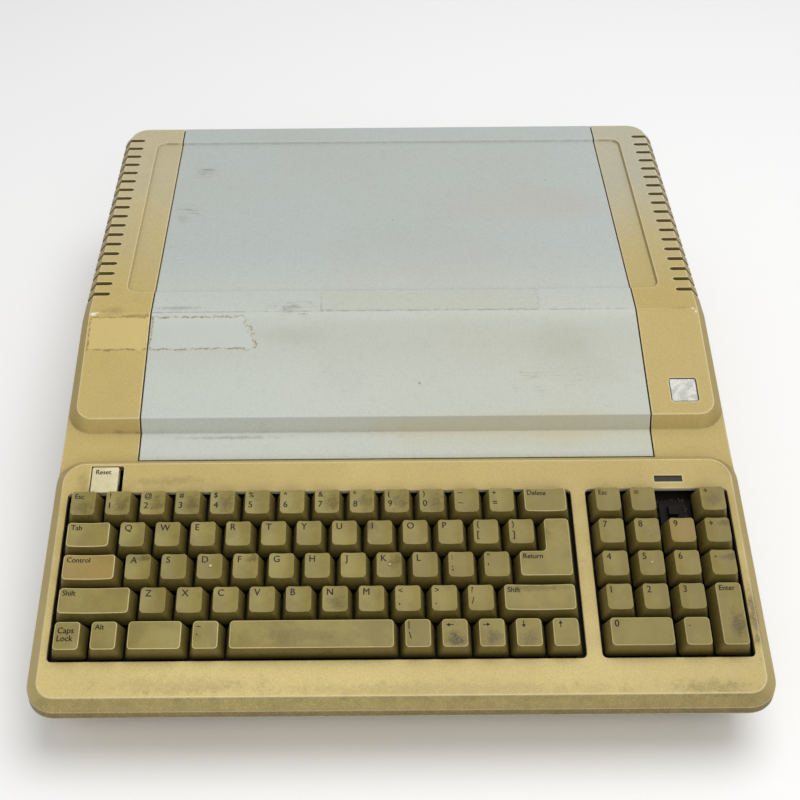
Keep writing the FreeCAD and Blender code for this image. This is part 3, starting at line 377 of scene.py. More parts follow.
def makeCaseMaterial():
    look = caseLook
    material, tree, shader = newMaterial("casePlastic", 0.52)
    place = useGroup(tree, partPlace)
    coords = objectPlace(tree)
    spots = useMottle(tree, 14.0, 1300.0, 0.5)
    torn = noise(coords, 160.0, 6.0, 0.75)
    x, y, along, facing = place["X"], place["Y"], place["Along"], place["Facing"]
    swaying = y + (spots["Cloud"] - 0.5) * 160.0
    base = mixColour(ramp(swaying, -215.0, -90.0), look["front"], look["middle"])
    # the rear fades less on the left
    fade = 1.0 - look["leftFade"] + ramp(x, -150.0, 120.0) * look["leftFade"]
    base = mixColour(ramp(swaying, 0.0, 170.0) * fade, base, look["rear"])
    corner = ramp(x, -60.0, 190.0) * (1.0 - ramp(along, 2.0, 26.0))
    # the turned-down edges are darker, most at the front
    outer = mathNode("MAXIMUM", ramp(abs(x), 178.0, 187.0), 1.0 - ramp(y, -224.0, -218.0))
    turned = (1.0 - ramp(facing, 0.45, 0.93)) * outer
    dots = noise(coords, 1700.0, 3.0, 0.7)
    front = 1.0 - ramp(y, -226.0, -219.0)
    speckle = ramp(dots + torn * 0.5, 0.6, 0.84) * (front * turned)
    # the last of these tints is painted shade on the lowest few millimetres of the rim
    base = addTints(base, look, (ramp(x, 20.0, 190.0), "cast", "olive"), (corner, "corner", "olive"),
                    (ramp(spots["Cloud"], 0.35, 0.7), "clouds", "olive"),
                    (ramp(spots["Grain"], 0.3, 0.7), "grain", "olive"),
                    (ramp(torn, 0.54, 0.74), "hair", "grime"), (turned, "turned", "olive"),
                    (speckle, "specks", "grime"), (1.0 - ramp(place["Z"], 38.0, 43.5), "lowRim", "grime"))
    # painted shade from ambient occlusion, mixed with grime, darkens the corners and slots
    depth = useGroup(tree, hollow, Distance=0.010, Low=0.35)
    dirtAndShade = depth["Dirt"] * (0.55 + torn)
    base = mixColour(mathNode("MULTIPLY", dirtAndShade, look["dirtAndShade"], clamp=True), base, look["grime"])
    base = addMarks(tree, base, look["grime"], (x, along), look["smudges"], torn, "Specks")
    base = addMarks(tree, base, look["grime"], (x, y), look["scuffs"], torn, "Specks")
    # the walls of the side slots are painted browner and darker, as painted shade in an olive tone
    normal = addNode(tree, "SeparateXYZ", {0: faceNormal(tree)})
    slots = ramp(abs(x), 150.0, 152.0) * (abs(y - look["slotMiddle"]) < look["slotReach"])
    base = mixColour(ramp(abs(normal["Y"]), 0.7, 0.8) * slots * look["wall"], base, look["slotWall"])
    # the steps of the two shallow seats get painted shade in the same colour, more on the right
    step = ramp(abs(normal["X"]), 0.12, 0.45) * (abs(abs(x) - 163.0) < 11.0) * (place["Z"] > 98.0)
    strength = look["stepLeft"] + ramp(x, -50.0, 50.0) * look["stepRight"]
    base = mixColour(step * strength, base, look["slotWall"])
    # the cut edge at the rear of the wells is light: unyellowed plastic, painted lighter still as a painted
    # highlight
    inside = (abs(x) < 184.0) * (place["Off"] > -4.0)
    lip = (abs(facing) < 0.05) * inside * (abs(along - wellLook["rear"]) < wellLook["reach"])
    base = mixColour(lip * look["lip"], base, wellLook["colour"])
    base = addResidue(tree, base, place, residueLook["case"], 0.0, torn, look["residue"], look["front"])
    # convex edges get a light line: wear and painted highlight
    rim = useGroup(tree, edge, Radius=0.0013, Low=0.96, High=0.998)
    base = mixColour(rim["Worn"] * depth["Open"] * look["wearAndHighlight"], base, look["wornAndHighlight"])
    base = addMarks(tree, base, look["chip"], (x, y), look["chips"], torn)
    setSocket(shader.inputs["Roughness"], 0.46 + spots["Cloud"] * 0.14)
    finishSurface(shader, base, spots["Grain"], 0.16, Normal=rim["Normal"])
    return material


paint(makeCaseMaterial(), "upper_case")

lidLook = {
    "flat": srgb(186, 192, 188), "slope": srgb(198, 203, 194), "olive": srgb(168, 160, 118),
    "grime": srgb(70, 62, 44), "wornAndHighlight": srgb(222, 224, 216), "stain": srgb(188, 164, 150),
    "haze": srgb(128, 126, 92),
    "tan": srgb(190, 174, 118), "taped": srgb(197, 204, 200), "ghostColour": srgb(178, 174, 134),
    "breakY": 9.9,
    "cast": 0.16, "clouds": 0.08, "hair": 0.07, "grain": 0.12, "dirtAndShade": 0.65, "ghostInside": 0.12,
    "ghostLine": 0.25,
    "wearAndHighlight": 0.45,
    "stains": [(101.0, 120.0, 75.0, 26.0, 0.16), (60.0, 60.0, 120.0, 40.0, 0.08)],
    "creases": [(9.9, 0.8, 0.4), (31.0, 0.7, 0.3), (201.0, 0.8, 0.16)],
    "ghost": (-44.0, 89.0, 10.6, 30.4),
    "hazes": [(-62.0, -8.0, 24.0, 9.0, 0.12), (100.0, -12.0, 26.0, 16.0, 0.1),
              (120.0, -34.0, 22.0, 12.0, 0.08), (0.0, 92.0, 60.0, 24.0, 0.05)],
    "tans": [(60.0, -66.0, 150.0, 7.0, 0.3), (80.0, -73.0, 120.0, 5.0, 0.16)],
    "scratches": [(40.0, (30.0, 460.0, 1.0), (-127.0, 167.0, 12.0, 12.0), 0.5),
                  (30.0, (30.0, 460.0, 1.0), (-136.0, 116.0, 10.0, 12.0), 0.45),
                  (-30.0, (40.0, 460.0, 1.0), (-146.0, 82.0, 8.0, 8.0), 0.4),
                  (24.0, (30.0, 420.0, 1.0), (-60.0, 14.0, 15.0, 8.0), 0.7),
                  (-60.0, (30.0, 420.0, 1.0), (-60.0, 14.0, 12.0, 9.0), 0.5),
                  (4.0, (26.0, 380.0, 1.0), (92.0, -40.0, 34.0, 12.0), 0.16)],
    "smudges": [(-131.0, 14.0, 22.0, 2.5, 0.34), (-64.0, 13.0, 9.0, 3.0, 0.30),
                (-128.0, 166.0, 7.0, 7.0, 0.16), (-138.0, 108.0, 5.0, 8.0, 0.12),
                (-30.0, -38.0, 24.0, 14.0, 0.06), (108.0, 152.0, 1.3, 2.2, 0.5), (1.6, 106.0, 1.0, 1.6, 0.5),
                (14.5, -41.0, 1.0, 1.1, 0.6), (-100.0, -70.0, 40.0, 1.6, 0.4)],
}


def addScratches(tree, base, coords, place, wander):
    # fine slanting lines inside a few worn patches
    for turn, stretch, patch, strength in lidLook["scratches"]:
        turned = {"Vector": coords, "Rotation": (0, 0, math.radians(turn)), "Scale": stretch}
        streaks = noise(addNode(tree, "Mapping", turned)[0], 1.0, 1.0)
        thin = 1.0 - ramp(abs(streaks - 0.55), 0.004, 0.022)
        area = useSpot(tree, place["X"], place["Y"], patch, wander)
        base = mixColour(thin * area * strength, base, lidLook["grime"])
    return base


def addCreases(base, y, wander):
    # broken darker lines along the folds of the top
    for fold, width, amount in lidLook["creases"]:
        line = (1.0 - ramp(abs(y - fold), 0.0, width)) * ramp(wander, 0.34, 0.6)
        base = mixColour(line * amount, base, lidLook["grime"])
    return base


def makeLidMaterial():
    look = lidLook
    material, tree, shader = newMaterial("lidPlastic", 0.5)
    place = useGroup(tree, partPlace)
    coords = objectPlace(tree)
    spots = useMottle(tree, 9.0, 1300.0, 0.5)
    torn = noise(coords, 160.0, 6.0, 0.75)
    x, y, cloud = place["X"], place["Y"], spots["Cloud"]
    # the front slope gets a lighter grey than the flat top: painted light on the slope that faces the front
    base = mixColour(1.0 - ramp(y, look["breakY"] - 10, look["breakY"] + 70), look["flat"], look["slope"])
    yellow = ramp(x, -120.0, 60.0) * look["cast"]
    base = mixColour(yellow * (1.0 - ramp(y, -40.0, 60.0)), base, look["olive"])
    base = addTints(base, look, (ramp(cloud, 0.4, 0.75), "clouds", "olive"),
                    (ramp(torn, 0.52, 0.72), "hair", "grime"),
                    (ramp(spots["Grain"], 0.3, 0.7), "grain", "grime"))
    base = addScratches(tree, base, coords, place, torn)
    base = addCreases(base, y, torn)
    # painted shade from ambient occlusion, mixed with grime, darkens the corners
    depth = useGroup(tree, hollow, Distance=0.006)
    dirtAndShade = depth["Dirt"] * (0.4 + torn)
    base = mixColour(mathNode("MULTIPLY", dirtAndShade, look["dirtAndShade"], clamp=True), base, look["grime"])
    for colour in ("stain", "haze", "tan"):
        base = addMarks(tree, base, look[colour], (x, y), look[colour + "s"], cloud)
    # a band of haze in front of the fold
    band = ramp(y, -44.0, -10.0) * (1.0 - ramp(y, -2.0, 10.0)) * (0.04 + cloud * 0.16)
    base = mixColour(band, base, look["haze"])
    ghost = useFrameLine(tree, place, look["ghost"], Width=0.8, Wander=torn, Broken=1.0)
    base = addTints(base, look, (ghost["Inside"], "ghostInside", "ghostColour"),
                    (ghost["Line"], "ghostLine", "grime"))
    base = addMarks(tree, base, look["grime"], (x, y), look["smudges"], torn, "Specks")
    base = addResidue(tree, base, place, residueLook["lid"], residueLook["slant"], torn, caseLook["residue"],
                      look["taped"])
    # convex edges get a light line: wear and painted highlight
    rim = useGroup(tree, edge, Radius=0.0010, Low=0.955, High=0.997)
    base = mixColour(rim["Worn"] * depth["Open"] * look["wearAndHighlight"], base, look["wornAndHighlight"])
    finishSurface(shader, base, spots["Grain"], 0.14, Normal=rim["Normal"])
    return material


paint(makeLidMaterial(), "lid")
print("case and lid painted")

keyboard = {
    "pitch": 19.05, "mainLeft": -181.5225, "padLeft": 105.3125, "front": 20.36, "gap": 1.05,
    "skirt": -2.5, "height": 8.0, "side": 2.45, "dishFront": 2.9, "flatFront": 1.9, "rear": 1.0,
    "dish": 1.0, "dishSteps": 10, "corner": 2.0, "rim": 0.42, "shell": 1.4, "innerTaper": 2.0, "stem": 5.4,
    "stemReach": -12.0,
}
returnKey = {"left": 12.75, "front": 2, "notch": 0.75, "width": 1.75}
resetKey = {"left": -171.0, "right": -156.1, "front": 117.2, "rear": 133.2, "low": -4.2, "top": 0.2,
            "corner": 0.9, "rim": 0.4, "innerTaper": 0.2}
# a key is its node, column, row, width, height and legend
mainKeys = [
    ("key_esc", 0, 4, 1, 1, "Esc"), ("key_delete", 13, 4, 1.5, 1, "Delete"), ("key_tab", 0, 3, 1.5, 1, "Tab"),
    ("key_control", 0, 2, 1.75, 1, "Control"), ("key_shift_left", 0, 1, 2.25, 1, "Shift"),
    ("key_shift_right", 12.25, 1, 2.25, 1, "Shift"), ("key_caps_lock", 0, 0, 1, 1, "Caps Lock"),
    ("key_alt", 1, 0, 1, 1, "Alt"), ("key_command", 2, 0, 1.75, 1, ""), ("key_accent", 3.75, 0, 1, 1, "~`"),
    ("key_space", 4.75, 0, 4.75, 1, ""), ("key_backslash", 9.5, 0, 1, 1, "|\\"),
    ("key_left", 10.5, 0, 1, 1, ""), ("key_right", 11.5, 0, 1, 1, ""), ("key_down", 12.5, 0, 1, 1, ""),
    ("key_up", 13.5, 0, 1, 1, ""),
]
rowKeys = [
    ("keys_numbers", 1, 4, ["!1", "@2", "#3", "$4", "%5", "^6", "&7", "*8", "(9", ")0", "_-", "+="]),
    ("keys_top_letters", 1.5, 3, ["Q", "W", "E", "R", "T", "Y", "U", "I", "O", "P", "{[", "}]"]),
    ("keys_home_letters", 1.75, 2, ["A", "S", "D", "F", "G", "H", "J", "K", "L", ":;", "\"'"]),
    ("keys_bottom_letters", 2.25, 1, ["Z", "X", "C", "V", "B", "N", "M", "<,", ">.", "?/"]),
]
padKeys = [
    ("pad_esc", 0, 4, 1, 1, "Esc"), ("pad_equals", 1, 4, 1, 1, "="), ("pad_star", 3, 4, 1, 1, "*"),
    ("pad_7", 0, 3, 1, 1, "7"), ("pad_8", 1, 3, 1, 1, "8"), ("pad_9", 2, 3, 1, 1, "9"),
    ("pad_plus", 3, 3, 1, 1, "+"),
    ("pad_4", 0, 2, 1, 1, "4"), ("pad_5", 1, 2, 1, 1, "5"), ("pad_6", 2, 2, 1, 1, "6"),
    ("pad_minus", 3, 2, 1, 1, "-"), ("pad_1", 0, 1, 1, 1, "1"), ("pad_2", 1, 1, 1, 1, "2"),
    ("pad_3", 2, 1, 1, 1, "3"),
    ("pad_enter", 3, 0, 1, 2, "Enter"), ("pad_0", 0, 0, 2, 1, "0"), ("pad_point", 2, 0, 1, 1, "."),
]


def taperBox(bm, low, high, bottom, top):
    # a cube drawn to a rectangle at each height; a rectangle is its left, right, front and rear
    for vert in bmesh.ops.create_cube(bm, size=1.0)["verts"]:
        left, right, front, rear = high if vert.co.z > 0 else low
        vert.co.x = right if vert.co.x > 0 else left
        vert.co.y = rear if vert.co.y > 0 else front
        vert.co.z = top if vert.co.z > 0 else bottom


def splitAcross(bm, left, right, count):
    for i in range(1, count):
        bmesh.ops.bisect_plane(bm, geom=bm.verts[:] + bm.edges[:] + bm.faces[:], plane_no=(1, 0, 0),
                               plane_co=(left + (right - left) * i / count, 0, 0))


def topEdges(bm, height):
    # edges near the given height, between the top and a flank
    depth, flankNormal = 1.2, 0.7
    return [e for e in bm.edges if all(v.co.z > height - depth for v in e.verts)
            and any(f.normal.z < flankNormal for f in e.link_faces)
            and any(f.normal.z >= flankNormal for f in e.link_faces)]


def cornerEdges(bm):
    # the upright edges of a cap, which are taller and sharper than these
    tall, sharp = 6, 1.0
    return [e for e in bm.edges if abs(e.verts[0].co.z - e.verts[1].co.z) > tall and len(e.link_faces) == 2
            and e.calc_face_angle(0) > sharp]


def bevelEdges(bm, edges, offset, segments):
    return bmesh.ops.bevel(bm, geom=edges, offset=offset, offset_type="OFFSET", segments=segments,
                           profile=0.5, affect="EDGES", material=-1, clamp_overlap=True)["faces"]


def roundTop(bm):
    # the rounded edges of a cap's top have the second material, a lighter copy that paints a highlight on them
    bm.normal_update()
    for face in bevelEdges(bm, topEdges(bm, keyboard["height"]), keyboard["rim"], 3):
        face.material_index = 1


def cellCorner(left, column, row):
    return Vector((left + column * keyboard["pitch"], keyboard["front"] + row * keyboard["pitch"], 0))


def capTop(width, height, dished):
    # left, right, front and rear of a cap's top, from its cell's lower left corner
    k = keyboard
    half = k["gap"] / 2
    front = k["dishFront"] if dished else k["flatFront"]
    return (half + k["side"], width * k["pitch"] - half - k["side"], half + front,
            height * k["pitch"] - half - k["rear"])


def dishDrop(x, top, dished):
    middle, reach = (top[0] + top[1]) / 2, (top[1] - top[0]) / 2
    return keyboard["dish"] * max(1 - ((x - middle) / reach) ** 2, 0) if dished else 0


def capMesh(width, height, dished):
    # one keycap, its cell's lower left corner at the origin, in millimetres
    k = keyboard
    bm = bmesh.new()
    half = k["gap"] / 2
    top = capTop(width, height, dished)
    taperBox(bm, (half, width * k["pitch"] - half, half, height * k["pitch"] - half), top, k["skirt"],
             k["height"])
    bevelEdges(bm, cornerEdges(bm), k["corner"], 5)
    if dished:
        splitAcross(bm, top[0], top[1], k["dishSteps"])
        for vert in bm.verts:
            if vert.co.z > k["height"] - 0.01:
                vert.co.z -= dishDrop(vert.co.x, top, dished)
    roundTop(bm)
    hollowCap(bm, width * k["pitch"] / 2, height * k["pitch"] / 2, k["height"] - k["dish"] - k["shell"],
              k["innerTaper"])
    return bm


def hollowCap(bm, stemX, stemY, ceiling, taper):
    # opens the underside and adds the stem
    k = keyboard
    bm.normal_update()
    low = min(v.co.z for v in bm.verts)
    under = [f for f in bm.faces if f.normal.z < -0.9 and f.calc_center_median().z < low + 0.01]
    bmesh.ops.inset_region(bm, faces=under, thickness=k["shell"], depth=0, use_even_offset=True)
    bmesh.ops.inset_region(bm, faces=under, thickness=taper, depth=low - ceiling, use_even_offset=True)
    s = k["stem"] / 2
    place = (stemX - s, stemX + s, stemY - s, stemY + s)
    taperBox(bm, place, place, k["stemReach"], ceiling + k["shell"] / 2)


def returnMesh():
    # the L-shaped cap, its lower left cell corner at the origin
    k, r = keyboard, returnKey
    half, unit = k["gap"] / 2, k["pitch"]
    bm = bmesh.new()
    bmesh.ops.create_grid(bm, x_segments=2, y_segments=2, size=1.0)
    for vert in bm.verts:
        vert.co.x = (0, r["notch"], r["width"])[round(vert.co.x) + 1] * unit
        vert.co.y = (round(vert.co.y) + 1) * unit
    corner = [f for f in bm.faces if f.calc_center_median().x < r["notch"] * unit
              and f.calc_center_median().y > unit]
    bmesh.ops.delete(bm, geom=corner, context="FACES")
    bmesh.ops.dissolve_limit(bm, angle_limit=0.01, verts=bm.verts[:], edges=bm.edges[:])
    moved = bmesh.ops.extrude_face_region(bm, geom=bm.faces[:])
    top = [g for g in moved["geom"] if isinstance(g, bmesh.types.BMVert)]
    for vert in bm.verts:
        high = vert in top
        side = half + (k["side"] if high else 0)
        vert.co.x += side if vert.co.x < unit else -side
        if vert.co.y < 1:
            vert.co.y += half + (k["dishFront"] if high else 0)
        else:
            vert.co.y -= half + (k["rear"] if high else 0)
        vert.co.z = k["height"] if high else k["skirt"]
    bmesh.ops.recalc_face_normals(bm, faces=bm.faces)
    bevelEdges(bm, cornerEdges(bm), k["corner"], 5)
    roundTop(bm)
    hollowCap(bm, r["width"] * unit / 2, unit / 2, k["height"] - k["dish"] - k["shell"], k["innerTaper"])
    bmesh.ops.translate(bm, verts=bm.verts, vec=cellCorner(k["mainLeft"], r["left"], r["front"]))
    return bm


def resetMesh():
    r = resetKey
    bm = bmesh.new()
    place = (r["left"], r["right"], r["front"], r["rear"])
    taperBox(bm, place, place, r["low"], r["top"])
    bevelEdges(bm, [e for e in bm.edges if abs(e.verts[0].co.z - e.verts[1].co.z) > 1], r["corner"], 4)
    bm.normal_update()
    bevelEdges(bm, topEdges(bm, r["top"]), r["rim"], 3)
    hollowCap(bm, (r["left"] + r["right"]) / 2, (r["front"] + r["rear"]) / 2, r["top"] - keyboard["shell"],
              r["innerTaper"])
    return bm


capCache = {}


def addMesh(bm, mesh):
    old = set(bm.verts)
    bm.from_mesh(mesh)
    return [v for v in bm.verts if v not in old]


def placedCap(bm, corner, *kind):
    if kind not in capCache:
        pattern = capMesh(*kind)
        capCache[kind] = bpy.data.meshes.new("capPattern")
        pattern.to_mesh(capCache[kind])
        pattern.free()
    bmesh.ops.translate(bm, verts=addMesh(bm, capCache[kind]), vec=corner)


def finishKeys(node, bm, *materials):
    bm.transform(onDeck)
    bmesh.ops.recalc_face_normals(bm, faces=bm.faces)
    obj = newMesh(node + "_cap", bm, 35, *materials)
    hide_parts(node)
    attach(obj, node)
    return obj


keyLook = {
    "top": srgb(155, 142, 76), "other": srgb(137, 124, 65), "flank": srgb(110, 96, 46),
    "rim": srgb(214, 202, 146),
    "orange": srgb(166, 138, 76), "otherOrange": srgb(154, 132, 70), "low": srgb(16, 13, 5),
    "grime": srgb(62, 46, 14),
    "padDark": srgb(112, 98, 46), "aged": srgb(122, 104, 34), "luck": 0.2, "ageing": 0.26, "padAmount": 0.2,
    "grain": 0.2, "flankAmount": 0.8, "lowAmount": 0.9, "streaks": 0.3,
    "finger": (0.60, 4.52, 0.34, 0.36), "fingerAmount": 0.6, "fingerColumns": (6.0, 5.0, 1.0),
    "smudges": [(-135.0, 74.0, 7.0, 3.0, 0.8), (-78.0, 73.0, 6.0, 3.0, 0.7), (-18.0, 90.0, 6.0, 6.0, 0.6),
                (-2.0, 71.0, 6.0, 6.0, 0.6), (-33.0, 48.0, 6.0, 6.0, 0.6), (24.0, 100.0, 40.0, 9.0, 0.2),
                (174.0, 34.0, 6.0, 10.0, 0.75), (28.5, 27.0, 7.0, 6.0, 0.95), (48.0, 28.0, 7.0, 6.0, 0.7),
                (66.0, 27.0, 6.0, 6.0, 0.5), (-52.0, 30.0, 34.0, 6.0, 0.3), (70.0, 55.0, 22.0, 2.5, 0.5),
                (176.0, 72.0, 7.0, 3.0, 0.7), (178.0, 92.0, 7.0, 3.0, 0.6), (-172.0, 104.0, 7.0, 6.0, 0.5),
                (172.0, 106.0, 6.0, 6.0, 0.5), (78.0, 86.0, 6.0, 6.0, 0.4),
                (134.0, 87.0, 6.0, 6.0, 0.25), (-90.0, 74.0, 5.0, 3.0, 0.3), (-14.0, 92.0, 5.0, 6.0, 0.25)],
}


def makeKeyMaterial(name, top, other):
    look = keyLook
    material, tree, shader = newMaterial(name, 0.46)
    place = useGroup(tree, partPlace)
    spots = useMottle(tree, 60.0, 1500.0, 0.5)
    torn = noise(objectPlace(tree), 330.0, 5.0, 0.75)
    x, along = place["X"], place["Along"]
    base = mixColour(ramp(spots["Cloud"], 0.35, 0.65), top, other)
    # each key has aged a little differently
    column = (x - keyboard["mainLeft"]) / keyboard["pitch"]
    row = (along - keyboard["front"]) / keyboard["pitch"]
    luck = luckyNumber(mathNode("FLOOR", column * 0.8), mathNode("FLOOR", row))
    base = addTints(base, look, (luck, "luck", "flank"), (ramp(x, -110.0, 60.0), "ageing", "aged"),
                    (ramp(x, 96.0, 130.0), "padAmount", "padDark"),
                    (ramp(spots["Grain"], 0.3, 0.7), "grain", "flank"))
    # fingers left dark marks on most of the number row, fewer on its middle keys
    middle, reach, fewer = look["fingerColumns"]
    number = (row > 4.0) * (abs(column - middle) < reach) * (1.0 - (abs(column - middle) < fewer) * 0.7)
    finger = useSpot(tree, mathNode("FRACT", column), row, look["finger"], torn, "Specks")
    base = mixColour(number * finger * look["fingerAmount"], base, look["grime"])
    base = addMarks(tree, base, look["grime"], (x, along), look["smudges"], torn, "Specks")
    # painted shade: the flanks get darker, which is also grime, and turn near black towards the plate where
    # the keys shade each other, those on the left and right less
    side = 1.0 - ramp(place["Facing"], 0.5, 0.9)
    beside = addNode(tree, "SeparateXYZ", {0: faceNormal(tree)})["X"]
    low = (1.0 - ramp(place["Off"], -4.5, 6.0)) * (1.0 - ramp(abs(beside), 0.5, 0.9) * 0.4)
    base = addTints(base, look, (side, "flankAmount", "flank"), (low, "lowAmount", "low"),
                    (ramp(torn, 0.5, 0.66) * side, "streaks", "grime"))
    finishSurface(shader, base, spots["Grain"], 0.12, 0.0001)
    return material


keyPlastic = makeKeyMaterial("keyPlastic", keyLook["top"], keyLook["other"])
orangePlastic = makeKeyMaterial("keyPlasticOrange", keyLook["orange"], keyLook["otherOrange"])
# a lighter copy of the key colour for the rounded top edges, a painted highlight
keyRimHighlight = makeKeyMaterial("keyRimHighlight", keyLook["rim"], keyLook["rim"])
legendInk = plainMaterial("legendInk", srgb(26, 23, 14), srgb(40, 35, 20), 0.7, scale=400.0)

resetPlastic = plainMaterial("resetPlastic", srgb(222, 213, 172), srgb(206, 194, 150), 0.5, scale=120.0)

legendLook = {
    "letter": 3.6, "sign": 3.0, "word": 2.8, "caps": 3.1, "letterLeft": 2.2, "left": 1.7, "rear": 1.6,
    "letterRear": 1.4, "signRear": 1.3, "digitRear": 10.6, "capsRears": (6.3, 10.6), "narrow": 0.94,
    "strike": (0.19, 0.11), "strikeLift": 0.004, "dash": 3.0, "dashThick": 0.42, "dashRears": (2.6, 8.8),
    "lift": 0.04, "arrow": 3.8, "arrowHead": 1.2, "arrowShaft": 0.5, "arrowPlace": (4.0, 3.2), "pip": 1.0,
    "pipRise": 0.6, "pipPlace": (0.3, 1.2), "resetPlace": (2.2, 4.6),
}
arrowTurns = {"key_left": 180, "key_right": 0, "key_down": -90, "key_up": 90}
pipKeys = [("keys_home_letters", 2), ("keys_home_letters", 7), ("pad_5", 0)]
orangeKeys = ("key_control", "pad_9")
letterShapes = {}


def letterMesh(text):
    # flat letters standing on the x axis; addLetters gives them their height
    if text not in letterShapes:
        curve = bpy.data.curves.new("letters", "FONT")
        curve.body = text
        curve.resolution_u = 4
        holder = bpy.data.objects.new("letters", curve)
        mesh = bpy.data.meshes.new_from_object(holder)
        low = min(v.co.x for v in mesh.vertices)
        mesh.transform(Matrix.Translation((-low, 0, 0)))
        bpy.data.objects.remove(holder)
        letterShapes[text] = mesh
    return letterShapes[text]


def addLetters(bm, text, height, x, y):
    # struck twice, a little apart, for a bolder stroke
    size = height / max(v.co.y for v in letterMesh("H").vertices)
    made = []
    for across, up, lift in ((0, 0, 0), (*legendLook["strike"], legendLook["strikeLift"])):
        new = addMesh(bm, letterMesh(text))
        for vert in new:
            vert.co = Vector((x + vert.co.x * size * legendLook["narrow"] + across, y + vert.co.y * size + up,
                              lift))
        made += new
    return made


def addDash(bm, x, y):
    look = legendLook
    place = Matrix.Translation((x + look["dash"] / 2, y, 0))
    shape = place @ Matrix.Diagonal((look["dash"], look["dashThick"], 1, 1))
    return bmesh.ops.create_grid(bm, x_segments=4, y_segments=1, size=0.5, matrix=shape)["verts"]


def addArrow(bm, turn, x, y):
    look = legendLook
    length, head = look["arrow"], look["arrowHead"]
    spin = Matrix.Translation((x, y, 0)) @ Matrix.Rotation(math.radians(turn), 4, "Z")
    shaft = Matrix.Diagonal((length - head, look["arrowShaft"], 1, 1))
    made = bmesh.ops.create_grid(bm, x_segments=1, y_segments=1, size=0.5,
                                 matrix=spin @ Matrix.Translation((-head / 2, 0, 0)) @ shaft)["verts"]
    tip = Matrix.Translation((length / 2 - head, 0, 0)) @ Matrix.Rotation(math.radians(-90), 4, "Z")
    made += bmesh.ops.create_circle(bm, cap_ends=True, segments=3, radius=head, matrix=spin @ tip)["verts"]
    return made


def addLegend(bm, text, arrow, corner, width, height, dished):
    # one cap's legend, bent to the cap's top
    look = legendLook
    top = capTop(width, height, dished)
    left, rear = top[0] + look["left"], top[3]
    made = []
    if arrow is not None:
        made = addArrow(bm, arrow, top[0] + look["arrowPlace"][0], rear - look["arrowPlace"][1])
    elif " " in text:
        for word, drop in zip(text.split(" "), look["capsRears"]):
            made += addLetters(bm, word, look["caps"], left, rear - drop)
    elif len(text) > 2:
        made = addLetters(bm, text, look["word"], left, rear - look["rear"] - look["word"])
    elif text == "_-":
        for drop in look["dashRears"]:
            made += addDash(bm, left, rear - drop)
    elif len(text) == 2:
        made = addLetters(bm, text[0], look["sign"], left, rear - look["signRear"] - look["sign"])
        made += addLetters(bm, text[1], look["letter"], left, rear - look["digitRear"])
    elif text:
        made = addLetters(bm, text, look["letter"], top[0] + look["letterLeft"],
                          rear - look["letterRear"] - look["letter"])
    for vert in made:
        vert.co.z = keyboard["height"] - dishDrop(vert.co.x, top, dished) + look["lift"]
    bmesh.ops.translate(bm, verts=made, vec=corner)


def addPip(bm, corner):
    # the small mound that a finger finds
    look = legendLook
    half = keyboard["pitch"] / 2
    place = corner + Vector((half + look["pipPlace"][0], half + look["pipPlace"][1],
                             keyboard["height"] - keyboard["dish"]))
    shape = Matrix.Translation(place) @ Matrix.Diagonal((look["pip"], look["pip"], look["pipRise"], 1))
    made = bmesh.ops.create_uvsphere(bm, u_segments=16, v_segments=8, radius=1.0, matrix=shape)
    for face in {f for v in made["verts"] for f in v.link_faces}:
        face.material_index = 1


def finishLegend(node, bm):
    if not bm.faces:
        bm.free()
        return
    bm.transform(onDeck)
    obj = newMesh(node + "_legend", bm, 0, legendInk)
    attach(obj, node)


def makeKeyGroup(node, left, caps):
    # caps is a list of column, row, width, height and legend; only the front row isn't dished
    keyMesh, legendMesh = bmesh.new(), bmesh.new()
    for i, (column, row, width, height, legend) in enumerate(caps):
        corner = cellCorner(left, column, row)
        placedCap(keyMesh, corner, width, height, row > 0)
        addLegend(legendMesh, legend, arrowTurns.get(node), corner, width, height, row > 0)
        if (node, i) in pipKeys:
            addPip(keyMesh, corner)
    finishKeys(node, keyMesh, orangePlastic if node in orangeKeys else keyPlastic, keyRimHighlight)
    finishLegend(node, legendMesh)


for left, keys in ((keyboard["mainLeft"], mainKeys), (keyboard["padLeft"], padKeys)):
    for name, *cap in keys:
        makeKeyGroup(name, left, [cap])
for name, column, row, legends in rowKeys:
    caps = [(column + i, row, 1, 1, legend) for i, legend in enumerate(legends)]
    makeKeyGroup(name, keyboard["mainLeft"], caps)
print("keycaps and legends made")


def makeReturnKey():
    finishKeys("key_return", returnMesh(), keyPlastic, keyRimHighlight)
    bm = bmesh.new()
    corner = cellCorner(keyboard["mainLeft"], returnKey["left"], returnKey["front"])
    addLegend(bm, "Return", None, corner, returnKey["width"], 1, False)
    finishLegend("key_return", bm)


def makeResetKey():
    obj = finishKeys("key_reset", resetMesh(), resetPlastic)
    bm = bmesh.new()
    x, y = legendLook["resetPlace"]
    made = addLetters(bm, "Reset", legendLook["word"], resetKey["left"] + x, resetKey["rear"] - y)
    bmesh.ops.translate(bm, verts=made, vec=(0, 0, resetKey["top"] + legendLook["lift"]))
    finishLegend("key_reset", bm)


makeReturnKey()
makeResetKey()
print("return and reset keys made")

oldGrime = (96, 84, 56)
# how much of each shows
metalWear = {"tarnish": 0.35, "stains": 0.3, "duller": 0.2}
paintWear = {"corners": 0.6, "specks": 0.25, "edges": 0.3}


